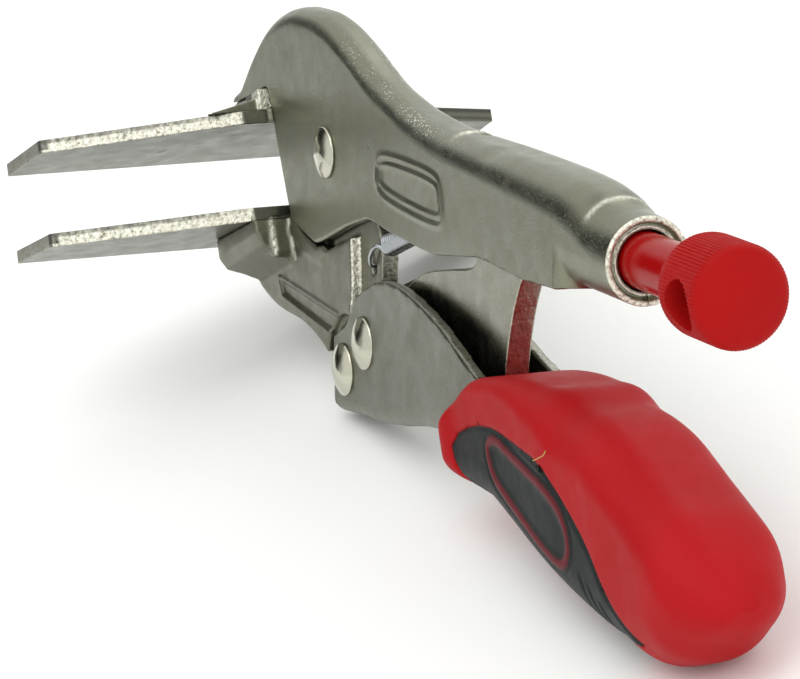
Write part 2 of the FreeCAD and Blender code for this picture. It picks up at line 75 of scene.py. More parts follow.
BOX = np.array([list(p) for p in b0], float)


def boxed(v):
    """Row coordinates held inside the modelled part's box."""
    return np.minimum(np.maximum(v, BOX[0] + 1e-5), BOX[1] - 1e-5)


def tool(v):
    return (np.atleast_2d(np.asarray(v, float)) * 1000.0 - SHIFT) @ ROT


AXX, AXZ, AXA = -172.2, -55.4, math.radians(21.33)
CA, SA = math.cos(AXA), math.sin(AXA)
A, B, C = (-55.3, -11.3), (-49.3, -48.5), (-61.5, -46.2)


def axp(u, v, y):
    """Tool-frame points from screw-axis coordinates."""
    u, v, y = np.broadcast_arrays(np.asarray(u, float), np.asarray(v, float), np.asarray(y, float))
    return np.stack([AXX + u * CA - v * SA, y, AXZ + u * SA + v * CA], -1)


# ---------------------------------------------------------------------------
# Small numeric helpers
# ---------------------------------------------------------------------------
def vnoise(p, seed=0):
    """Smooth value noise in -1..1 for an n x 3 array, lattice spacing 1."""
    p = np.asarray(p, float)
    i = np.floor(p).astype(np.int64)
    f = p - i
    f = f * f * (3 - 2 * f)

    def h(ix, iy, iz):
        n = (ix * 73856093) ^ (iy * 19349663) ^ (iz * 83492791) ^ (seed * 2654435761 & 0x7FFFFFFF)
        n = (n ^ (n >> 13)) * 1274126177
        n = n & 0x7FFFFFFF
        n = (n ^ (n >> 16)) & 0xFFFF
        return n / 32767.5 - 1.0
    r = 0
    for dx in (0, 1):
        for dy in (0, 1):
            for dz in (0, 1):
                w = (f[:, 0] if dx else 1 - f[:, 0]) * (f[:, 1] if dy else 1 - f[:, 1]) * (f[:, 2] if dz else 1 - f[:, 2])
                r = r + w * h(i[:, 0] + dx, i[:, 1] + dy, i[:, 2] + dz)
    return r


def fbm(p, seed=0, octaves=3):
    r, a = 0, 1.0
    p = np.asarray(p, float)
    for k in range(octaves):
        r = r + a * vnoise(p * (2.03 ** k) + 17.3 * k, seed + k)
        a *= 0.5
    return r / 1.75


def sstep(a, b, x):
    t = np.clip((x - a) / (b - a), 0, 1)
    return t * t * (3 - 2 * t)


def pchip(table):
    """Monotone cubic through (x, y) pairs."""
    t = sorted(table)
    x = np.array([a for a, _ in t], float)
    y = np.array([b for _, b in t], float)
    h = np.diff(x)
    d = np.diff(y) / h
    m = np.zeros(len(x))
    for k in range(1, len(x) - 1):
        if d[k - 1] * d[k] > 0:
            w1, w2 = 2 * h[k] + h[k - 1], h[k] + 2 * h[k - 1]
            m[k] = (w1 + w2) / (w1 / d[k - 1] + w2 / d[k])
    m[0], m[-1] = d[0], d[-1]

    def f(q):
        q = np.asarray(q, float)
        k = np.clip(np.searchsorted(x, q) - 1, 0, len(x) - 2)
        s = np.clip((q - x[k]) / h[k], 0, 1)
        return ((1 + 2 * s) * (1 - s) ** 2 * y[k] + s * (1 - s) ** 2 * h[k] * m[k]
                + s * s * (3 - 2 * s) * y[k + 1] + s * s * (s - 1) * h[k] * m[k + 1])
    return f


def poly_sd(p, poly):
    """Signed distance (inside negative) of n x 2 points to a closed polygon."""
    p = np.asarray(p, float)
    poly = np.asarray(poly, float)
    d = np.full(len(p), 1e9)
    inside = np.zeros(len(p), bool)
    for a, b in zip(poly, np.roll(poly, -1, 0)):
        e, w = b - a, p - a
        t = np.clip((w @ e) / (e @ e), 0, 1)
        q = w - t[:, None] * e
        d = np.minimum(d, np.sqrt((q ** 2).sum(1)))
        c = (a[1] > p[:, 1]) != (b[1] > p[:, 1])
        with np.errstate(divide="ignore", invalid="ignore"):
            x = (b[0] - a[0]) * (p[:, 1] - a[1]) / (b[1] - a[1]) + a[0]
        inside ^= c & (p[:, 0] < x)
    return np.where(inside, -d, d)


def ridge(d, c, w):
    """Rounded bump of half width w at signed distance c."""
    return np.exp(-((d - c) / w) ** 2)


# ---------------------------------------------------------------------------
# Mesh makers
# ---------------------------------------------------------------------------
COL = bpy.context.scene.collection


def mesh_obj(name, verts, faces, body, mat, cad=(), smooth=True, attrs=None, flat_from=None):
    """New piece from tool-frame vertices."""
    me = bpy.data.meshes.new(name)
    me.from_pydata(boxed(row(verts)).tolist(), [], [list(map(int, f)) for f in faces])
    me.validate()
    ob = bpy.data.objects.new(name, me)
    COL.objects.link(ob)
    finish_obj(ob, body, mat, cad, smooth, attrs, flat_from)
    return ob


def finish_obj(ob, body, mat, cad=(), smooth=True, attrs=None, flat_from=None):
    me = ob.data
    bm = bmesh.new()
    bm.from_mesh(me)
    bmesh.ops.recalc_face_normals(bm, faces=bm.faces)
    bm.to_mesh(me)
    bm.free()
    if smooth:
        me.shade_smooth()
    if flat_from is not None:
        sm = np.ones(len(me.polygons), bool)
        sm[flat_from:] = False
        me.polygons.foreach_set("use_smooth", sm)
    for n, v in (attrs or {}).items():
        at = me.attributes.new(n, "FLOAT", "POINT")
        at.data.foreach_set("value", np.asarray(v, np.float32))
    me.materials.clear()
    me.materials.append(mat)
    if body:
        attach(ob, body)
    if cad:
        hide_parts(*cad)
    return ob


def grid_faces(nu, nv, wrap_v=False, off=0):
    out = []
    m = nv if wrap_v else nv - 1
    for i in range(nu - 1):
        for j in range(m):
            k = (j + 1) % nv
            out.append((off + i * nv + j, off + i * nv + k, off + (i + 1) * nv + k, off + (i + 1) * nv + j))
    return out


def resample(poly, step):
    out = []
    poly = [np.asarray(p, float) for p in poly]
    for a, b in zip(poly, poly[1:] + poly[:1]):
        n = max(1, int(round(np.linalg.norm(b - a) / step)))
        for k in range(n):
            out.append(a + (b - a) * k / n)
    return np.array(out)


def chaikin(poly, n=2):
    p = np.array(poly, float)
    for _ in range(n):
        q = np.roll(p, -1, 0)
        p = np.stack([p * 0.75 + q * 0.25, p * 0.25 + q * 0.75], 1).reshape(-1, 2)
    return p


def slab(name, poly, place, t0, t1, r, body, mat, cad=(), step=0.5, nth=8, rough=None, mask=None, arcs=4, edge_tone_and_shade=None):
    """Plate with rounded edges from an outline; place(a, b, t) gives tool points."""
    p = resample(poly, step)
    area = 0.5 * np.sum(p[:, 0] * np.roll(p[:, 1], -1) - np.roll(p[:, 0], -1) * p[:, 1])
    if area < 0:
        p = p[::-1]
    tan = np.roll(p, -1, 0) - np.roll(p, 1, 0)
    tan /= np.linalg.norm(tan, axis=1)[:, None] + 1e-12
    nrm = np.stack([tan[:, 1], -tan[:, 0]], 1)
    rings = []
    for k in range(arcs + 1):
        a = math.pi / 2 * k / arcs
        rings.append((r * (1 - math.sin(a)), t0 + r * (1 - math.cos(a))))
    for k in range(1, nth):
        rings.append((0.0, t0 + r + (t1 - t0 - 2 * r) * k / nth))
    for k in range(arcs + 1):
        a = math.pi / 2 * k / arcs
        rings.append((r * (1 - math.cos(a)), t1 - r * (1 - math.sin(a))))
    V, E, K = [], [], []
    n = len(p)
    for off, t in rings:
        q = p - nrm * off
        pts = place(q[:, 0], q[:, 1], np.full(n, t))
        side = 1.0 if off <= r + 1e-6 else 0.0
        m = np.zeros(n) if mask is None else mask(p)
        if rough is not None and side:
            d = rough(pts, p, (t - t0) / (t1 - t0)) * m
            q = q + nrm * d[:, None]
            pts = place(q[:, 0], q[:, 1], np.full(n, t))
        V.append(pts)
        inner = 1.0 if off < r * 0.75 + 1e-6 else 0.0
        if edge_tone_and_shade is None:
            E.append(m * inner)
            K.append(np.zeros(n))
        else:
            e_, k_ = edge_tone_and_shade(p, (t - t0) / (t1 - t0), m * inner, inner)
            E.append(e_)
            K.append(k_)
    V = np.concatenate(V)
    E = np.concatenate(E)
    K = np.concatenate(K)
    F = grid_faces(len(rings), n, True)
    last = (len(rings) - 1) * n
    F.append(tuple(range(n)))
    F.append(tuple(range(last + n - 1, last - 1, -1)))
    ob = mesh_obj(name, V, F, None, mat, (), True, {"edge": E, "dark": K})
    bm = bmesh.new()
    bm.from_mesh(ob.data)
    big = [f for f in bm.faces if len(f.verts) > 8]
    for f in bmesh.ops.triangulate(bm, faces=big)["faces"]:
        f.smooth = False
    bm.to_mesh(ob.data)
    bm.free()
    if body:
        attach(ob, body)
    if cad:
        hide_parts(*cad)
    return ob


def lathe(prof, n=96):
    """Closed surface of revolution about the Y line; prof is (radius, height) from pole to pole."""
    V, F = [], []
    prof = np.asarray(prof, float)
    th = np.linspace(0, 2 * math.pi, n, endpoint=False)
    for r, h in prof:
        V.append(np.stack([r * np.cos(th), np.full(n, h), r * np.sin(th)], 1))
    V = np.concatenate(V)
    F = grid_faces(len(prof), n, True)
    return V, F


def voxel_copy(name, srcs, voxel, smooth, body, mat, cad=(), extra=(), cutters=(), decimate=None, masks=None, displace=None):
    """Soft-edged copy: sources (tool-frame objects) merged by a voxel remesh, smoothed and detailed."""
    obs = []
    for s in srcs:
        me = s.data.copy()
        ob = bpy.data.objects.new("tmp", me)
        COL.objects.link(ob)
        co = np.zeros(len(me.vertices) * 3)
        me.vertices.foreach_get("co", co)
        me.vertices.foreach_set("co", (tool(co.reshape(-1, 3)) / 10.0).ravel())
        me.update()
        obs.append(ob)
    for V, F in extra:
        me = bpy.data.meshes.new("tmp")
        me.from_pydata((np.asarray(V) / 10.0).tolist(), [], [list(map(int, f)) for f in F])
        bm = bmesh.new()
        bm.from_mesh(me)
        bmesh.ops.recalc_face_normals(bm, faces=bm.faces)
        bm.to_mesh(me)
        bm.free()
        ob = bpy.data.objects.new("tmp", me)
        COL.objects.link(ob)
        obs.append(ob)
    bpy.ops.object.select_all(action="DESELECT")
    for o in obs:
        o.select_set(True)
    bpy.context.view_layer.objects.active = obs[0]
    if len(obs) > 1:
        bpy.ops.object.join()
    ob = obs[0]
    cut_obs = []
    for V, F in cutters:
        me = bpy.data.meshes.new("cut")
        me.from_pydata((np.asarray(V) / 10.0).tolist(), [], [list(map(int, f)) for f in F])
        bm = bmesh.new()
        bm.from_mesh(me)
        bmesh.ops.recalc_face_normals(bm, faces=bm.faces)
        bm.to_mesh(me)
        bm.free()
        c = bpy.data.objects.new("cut", me)
        COL.objects.link(c)
        cut_obs.append(c)
        m = ob.modifiers.new("b", "BOOLEAN")
        m.operation = "DIFFERENCE"
        m.solver = "EXACT"
        m.object = c
    m = ob.modifiers.new("r", "REMESH")
    m.mode = "VOXEL"
    m.voxel_size = voxel / 10.0
    m.use_smooth_shade = True
    if smooth:
        m = ob.modifiers.new("s", "CORRECTIVE_SMOOTH") if False else ob.modifiers.new("s", "SMOOTH")
        m.factor = 0.5
        m.iterations = smooth
    if decimate:
        m = ob.modifiers.new("d", "DECIMATE")
        m.ratio = decimate
    bpy.context.view_layer.update()
    dg = bpy.context.evaluated_depsgraph_get()
    me = bpy.data.meshes.new_from_object(ob.evaluated_get(dg))
    for c in cut_obs:
        bpy.data.objects.remove(c)
    old = ob.data
    bpy.data.objects.remove(ob)
    bpy.data.meshes.remove(old)
    me.name = name
    co = np.zeros(len(me.vertices) * 3)
    me.vertices.foreach_get("co", co)
    co = co.reshape(-1, 3) * 10.0
    nr = np.zeros(len(me.vertices) * 3)
    me.vertices.foreach_get("normal", nr)
    nr = nr.reshape(-1, 3)
    if displace is not None:
        co = co + nr * displace(co, nr)[:, None]
    attrs = {}
    if masks is not None:
        attrs = masks(co, nr)
    me.vertices.foreach_set("co", boxed(row(co)).ravel())
    me.update()
    new = bpy.data.objects.new(name, me)
    COL.objects.link(new)
    finish_obj(new, body, mat, cad, True, attrs)
    return new


def prism_mesh(pts, y0, y1):
    n = len(pts)
    V = [(x, y0, z) for x, z in pts] + [(x, y1, z) for x, z in pts]
    F = [tuple(range(n)), tuple(range(2 * n - 1, n - 1, -1))] + [(i, (i + 1) % n, n + (i + 1) % n, n + i) for i in range(n)]
    return V, F


# ---------------------------------------------------------------------------
# Materials
# ---------------------------------------------------------------------------
class Nodes:
    def __init__(self, name):
        self.m = bpy.data.materials.new(name)
        self.m.use_nodes = True
        self.t = self.m.node_tree
        self.t.nodes.clear()
        self.out = self.add("ShaderNodeOutputMaterial")
        self.bsdf = self.add("ShaderNodeBsdfPrincipled")
        self.link(self.bsdf.outputs[0], self.out.inputs[0])
        self.obj = self.add("ShaderNodeTexCoord").outputs["Object"]

    def add(self, kind, **kw):
        n = self.t.nodes.new(kind)
        for k, v in kw.items():
            setattr(n, k, v)
        return n

    def link(self, a, b):
        self.t.links.new(a, b)

    def val(self, sock, v):
        if hasattr(v, "is_output") or isinstance(v, bpy.types.NodeSocket):
            self.link(v, sock)
        else:
            sock.default_value = v

    def math(self, op, a, b=0.0, c=None, clamp=False):
        n = self.add("ShaderNodeMath", operation=op, use_clamp=clamp)
        self.val(n.inputs[0], a)
        self.val(n.inputs[1], b)
        if c is not None:
            self.val(n.inputs[2], c)
        return n.outputs[0]

    def scaled(self, sx, sy, sz):
        n = self.add("ShaderNodeMapping")
        n.inputs["Scale"].default_value = (sx, sy, sz)
        n.inputs["Rotation"].default_value = (-math.radians(ROLL), 0, 0)
        self.link(self.obj, n.inputs["Vector"])
        return n.outputs[0]

    def noise(self, scale, detail=3.0, rough=0.5, vec=None, dist=0.0):
        n = self.add("ShaderNodeTexNoise")
        n.inputs["Scale"].default_value = scale
        n.inputs["Detail"].default_value = detail
        n.inputs["Roughness"].default_value = rough
        n.inputs["Distortion"].default_value = dist
        self.link(vec if vec is not None else self.obj, n.inputs["Vector"])
        return n.outputs["Fac"]

    def voro(self, scale, feature="F1", vec=None):
        n = self.add("ShaderNodeTexVoronoi", feature=feature)
        n.inputs["Scale"].default_value = scale
        self.link(vec if vec is not None else self.obj, n.inputs["Vector"])
        return n.outputs["Distance"]

    def ramp(self, fac, stops):
        n = self.add("ShaderNodeValToRGB")
        e = n.color_ramp.elements
        e[0].position, e[0].color = stops[0][0], (*stops[0][1], 1)
        e[1].position, e[1].color = stops[-1][0], (*stops[-1][1], 1)
        for p, c in stops[1:-1]:
            k = e.new(p)
            k.color = (*c, 1)
        self.link(fac, n.inputs[0])
        return n.outputs[0]

    def maprange(self, v, a, b, c, d):
        n = self.add("ShaderNodeMapRange")
        self.link(v, n.inputs[0])
        for k, x in zip((1, 2, 3, 4), (a, b, c, d)):
            n.inputs[k].default_value = x
        return n.outputs[0]

    def mix(self, fac, a, b):
        n = self.add("ShaderNodeMix", data_type="RGBA")
        self.val(n.inputs[0], fac)
        for s, v in ((6, a), (7, b)):
            if isinstance(v, tuple):
                n.inputs[s].default_value = (*v, 1)
            else:
                self.link(v, n.inputs[s])
        return n.outputs[2]

    def attr(self, name):
        n = self.add("ShaderNodeAttribute", attribute_name=name)
        return n.outputs["Fac"]

    def bump(self, height, strength, distance, normal=None):
        n = self.add("ShaderNodeBump")
        self.val(n.inputs["Strength"], strength)
        n.inputs["Distance"].default_value = distance
        self.link(height, n.inputs["Height"])
        if normal is not None:
            self.link(normal, n.inputs["Normal"])
        return n.outputs[0]

    def set(self, **kw):
        for k, v in kw.items():
            s = self.bsdf.inputs[k.replace("_", " ")]
            if isinstance(v, tuple) and len(v) == 3:
                v = (*v, 1)
            self.val(s, v)


def nickel(name, base, rough, mott=0.5, grain=0.5, spots=0.0, stain=0.35):
    """Satin nickel plate over blasted steel, with a bright sheared edge where attribute edge is 1; the same bright
    colour is a painted highlight where edge marks a crease, rim or face, attribute dark paints shade and attribute
    spark paints glints.
    """
    k = Nodes(name)
    edge = k.attr("edge")
    dark = k.attr("dark")
    big = k.noise(42.0, 4.0, 0.55)
    mid = k.noise(260.0, 3.0, 0.6)
    fine = k.noise(2300.0, 2.0, 0.7)
    lo = tuple(c * (1 - 0.16 * mott) for c in base)
    hi = tuple(min(1, c * (1 + 0.10 * mott)) for c in base)
    warm = (base[0] * 1.04, base[1] * 0.985, base[2] * 0.90)
    c1 = k.ramp(big, [(0.3, lo), (0.5, base), (0.72, hi)])
    c2 = k.mix(k.maprange(mid, 0.42, 0.75, 0.0, stain), c1, warm)
    # Tiny dark pits in the plating.
    pit = k.voro(900.0)
    pits = k.maprange(pit, 0.06, 0.16, 1.0, 0.0)
    pits = k.math("MULTIPLY", pits, k.maprange(k.noise(120.0, 2.0), 0.52, 0.66, 0.0, 1.0))
    c3 = k.mix(k.math("MULTIPLY", pits, 0.35), c2, (0.16, 0.155, 0.13))
    # Sheared edge: bright torn metal with dark chips; on creases, rims and faces marked by edge this colour is a
    # painted highlight.
    ev = k.noise(1500.0, 3.0, 0.65)
    ec = k.ramp(ev, [(0.30, (0.20, 0.19, 0.15)), (0.42, (0.62, 0.60, 0.50)), (0.60, (0.93, 0.91, 0.80))])
    c4 = k.mix(edge, c3, ec)
    # Painted glints: tiny white specks, strongest where attribute spark is set.
    tw = k.maprange(k.noise(2700.0, 1.0, 0.5), 0.61, 0.67, 0.0, 0.95)
    tw = k.math("MULTIPLY", tw, k.math("ADD", k.math("MULTIPLY", k.attr("spark"), 1.3), 0.05, clamp=True))
    c4 = k.mix(tw, c4, (1.0, 1.0, 0.9))
    # Painted shade: near-black where attribute dark is set.
    c5 = k.mix(dark, c4, (0.045, 0.043, 0.038))
    r1 = k.maprange(mid, 0.3, 0.7, rough - 0.05, rough + 0.07)
    r2 = k.math("ADD", r1, k.math("MULTIPLY", fine, 0.06 * grain))
    r3 = k.math("ADD", k.math("MULTIPLY", edge, 0.12), r2)
    n1 = k.bump(fine, 0.22 * grain, 0.00006)
    n2 = k.bump(mid, 0.30 * grain, 0.00012, n1)
    n2b = k.bump(big, 0.35, 0.0003, n2)
    n3 = k.bump(ev, k.math("MULTIPLY", edge, 0.9), 0.0004, n2b)
    if spots:
        sp_ = k.noise(3400.0, 1.0, 0.5)
        n3 = k.bump(k.maprange(sp_, 0.60, 0.72, 0.0, 1.0), spots, 0.0002, n3)
    k.set(Base_Color=c5, Metallic=1.0, Roughness=r3, Normal=n3)
    return k.m


M_NICKEL = nickel("satin_nickel", (0.226, 0.228, 0.172), 0.31, spots=0.25)
M_LEVER = nickel("lever_nickel", (0.152, 0.154, 0.116), 0.31, spots=0.2)
M_PLATE = nickel("plate_nickel", (0.155, 0.156, 0.126), 0.30, mott=0.8, grain=0.6)
# A near-black elongated patch painted under the upper plate.
k = M_PLATE.node_tree
pb = [x for x in k.nodes if x.type == "BSDF_PRINCIPLED"][0]
csrc = pb.inputs["Base Color"].links[0].from_socket
tcn = k.nodes.new("ShaderNodeTexCoord")
nzn = k.nodes.new("ShaderNodeTexNoise")
nzn.inputs["Scale"].default_value = 500.0
k.links.new(tcn.outputs["Object"], nzn.inputs["Vector"])
dsn = k.nodes.new("ShaderNodeVectorMath")
dsn.operation = "DISTANCE"
k.links.new(tcn.outputs["Object"], dsn.inputs[0])
dsn.inputs[1].default_value = tuple(row((-11.20, 19.51, 0.0))[0])
dsm = k.nodes.new("ShaderNodeVectorMath")
dsm.operation = "DISTANCE"
k.links.new(tcn.outputs["Object"], dsm.inputs[0])
dsm.inputs[1].default_value = tuple(row((-13.95, 18.88, 0.0))[0])
dss = k.nodes.new("ShaderNodeMath")
dss.operation = "ADD"
k.links.new(dsn.outputs["Value"], dss.inputs[0])
k.links.new(dsm.outputs["Value"], dss.inputs[1])
sm = k.nodes.new("ShaderNodeMath")
sm.operation = "MULTIPLY_ADD"
k.links.new(nzn.outputs["Fac"], sm.inputs[0])
sm.inputs[1].default_value = -0.0005
k.links.new(dss.outputs[0], sm.inputs[2])
rg = k.nodes.new("ShaderNodeMapRange")
k.links.new(sm.outputs[0], rg.inputs[0])
for q_, v_ in zip((1, 2, 3, 4), (0.00266, 0.00316, 0.94, 0.0)):
    rg.inputs[q_].default_value = v_
mxn = k.nodes.new("ShaderNodeMix")
mxn.data_type = "RGBA"
k.links.new(rg.outputs[0], mxn.inputs[0])
k.links.new(csrc, mxn.inputs[6])
mxn.inputs[7].default_value = (0.03, 0.03, 0.027, 1)
k.links.new(mxn.outputs[2], pb.inputs["Base Color"])
M_FORGED = nickel("forged_nickel", (0.165, 0.162, 0.124), 0.33, mott=0.9, grain=0.9, stain=0.5)
M_LINK = nickel("link_nickel", (0.27, 0.265, 0.215), 0.24, mott=0.5, grain=0.4)
M_RIVET = nickel("rivet_nickel", (0.56, 0.55, 0.46), 0.17, mott=0.3, grain=0.15)
M_SPRING = nickel("spring_zinc", (0.40, 0.42, 0.44), 0.22, mott=0.3, grain=0.2)
M_SCREW = nickel("screw_steel", (0.50, 0.49, 0.46), 0.32)


def plastic(name, lo, hi, rough, grain_scale, grain, coat=0.0, speck=None, sheen=0.0, spec=0.3):
    k = Nodes(name)
    big = k.noise(38.0, 3.0, 0.5)
    fine = k.noise(grain_scale, 3.0, 0.6)
    mid = k.noise(320.0, 3.0, 0.6)
    c = k.ramp(big, [(0.3, lo), (0.7, hi)])
    if speck:
        s = k.voro(700.0)
        f = k.math("MULTIPLY", k.maprange(s, 0.05, 0.12, 1.0, 0.0), k.maprange(k.noise(90.0, 2.0), 0.55, 0.65, 0.0, 1.0))
        c = k.mix(k.math("MULTIPLY", f, 0.5), c, speck)
    r = k.maprange(mid, 0.3, 0.7, rough - 0.04, rough + 0.05)
    n1 = k.bump(fine, grain, 0.0001)
    n2 = k.bump(mid, 0.12, 0.00025, n1)
    k.set(Base_Color=c, Roughness=r, Normal=n2, Coat_Weight=coat, Coat_Roughness=0.12)
    k.bsdf.inputs["IOR"].default_value = 1.45
    k.bsdf.inputs["Specular IOR Level"].default_value = spec
    if sheen:
        k.bsdf.inputs["Sheen Weight"].default_value = sheen
        k.bsdf.inputs["Sheen Roughness"].default_value = 0.5
    return k.m


M_RED = plastic("grip_red", (0.355, 0.0035, 0.0055), (0.42, 0.0055, 0.009), 0.54, 1800.0, 0.2, speck=(0.33, 0.005, 0.008), spec=0.16)
M_KNOB = plastic("knob_red", (0.32, 0.002, 0.002), (0.38, 0.003, 0.003), 0.54, 2600.0, 0.5, speck=(0.30, 0.003, 0.003), spec=0.13)
M_NECK = plastic("neck_red", (0.28, 0.002, 0.003), (0.34, 0.003, 0.004), 0.22, 900.0, 0.05, coat=0.05, spec=0.14)
M_BLACK = plastic("grip_black", (0.010, 0.013, 0.0125), (0.017, 0.021, 0.020), 0.52, 2400.0, 0.5, spec=0.2)

# ---------------------------------------------------------------------------
# Upper handle shell
# ---------------------------------------------------------------------------
TOP = pchip([(0, 6.78), (4.6, 6.95), (7.2, 7.30), (9.5, 7.85), (10.1, 8.12), (14, 9.05), (20, 9.6), (34, 9.85), (50, 9.85), (64, 9.75), (72, 9.75),
             (81, 10.3), (88, 11.0), (95, 12.2), (102, 13.8), (108, 15.7), (114, 17.9), (119.5, 19.7), (126, 21.3),
             (133, 22.1), (140, 21.95), (146, 21.0), (151, 19.4), (156, 16.9), (160.5, 13.6), (164.5, 10.1),
             (168, 6.6), (171, 3.8), (173, 2.2)])
HALF = pchip([(0, 6.82), (20, 6.85), (34, 6.75), (50, 6.35), (64, 5.8), (72, 5.3), (81, 4.8), (88, 4.45), (95, 4.1),
              (102, 3.9), (173, 3.9)])
RAD = pchip([(0, 6.8), (6.5, 6.75), (14, 6.4), (20, 6.0), (34, 5.4), (50, 4.9), (64, 4.5), (81, 3.9), (95, 3.5), (173, 3.3)])
KEEP = [(-12.3, 8.1), (-20.0, 7.4), (-30.2, 6.7), (-31.4, 6.0), (-31.5, -0.7), (-33.2, -16.9), (-34.6, -18.9),
        (-37.0, -20.9), (-43.6, -25.0), (-47.5, -25.3), (-60.0, -25.5), (-70.0, -26.3), (-74.0, -27.9), (-78.5, -30.2),
        (-95.2, -36.9), (-102.5, -39.4), (-112.9, -41.7), (-121.2, -43.6), (-125.0, -44.9), (-140.1, -51.2),
        (-149.0, -54.0), (-153.4, -55.6)]
ku = np.array([(x - AXX) * CA + (z - AXZ) * SA for x, z in KEEP])[::-1]
kv = np.array([-(x - AXX) * SA + (z - AXZ) * CA for x, z in KEEP])[::-1]


def vlow(u):
    s = 0
    for d, w in ((-0.9, 0.2), (-0.45, 0.2), (0, 0.2), (0.45, 0.2), (0.9, 0.2)):
        s = s + w * np.interp(u + d, ku, kv)
    return s


FRAME_POLY = chaikin([(-79.6, -18.2), (-83.6, -18.1), (-107.8, -26.9), (-109.9, -29.6), (-109.2, -35.0), (-106.2, -35.9), (-79.4, -25.1), (-77.4, -21.8)], 3)


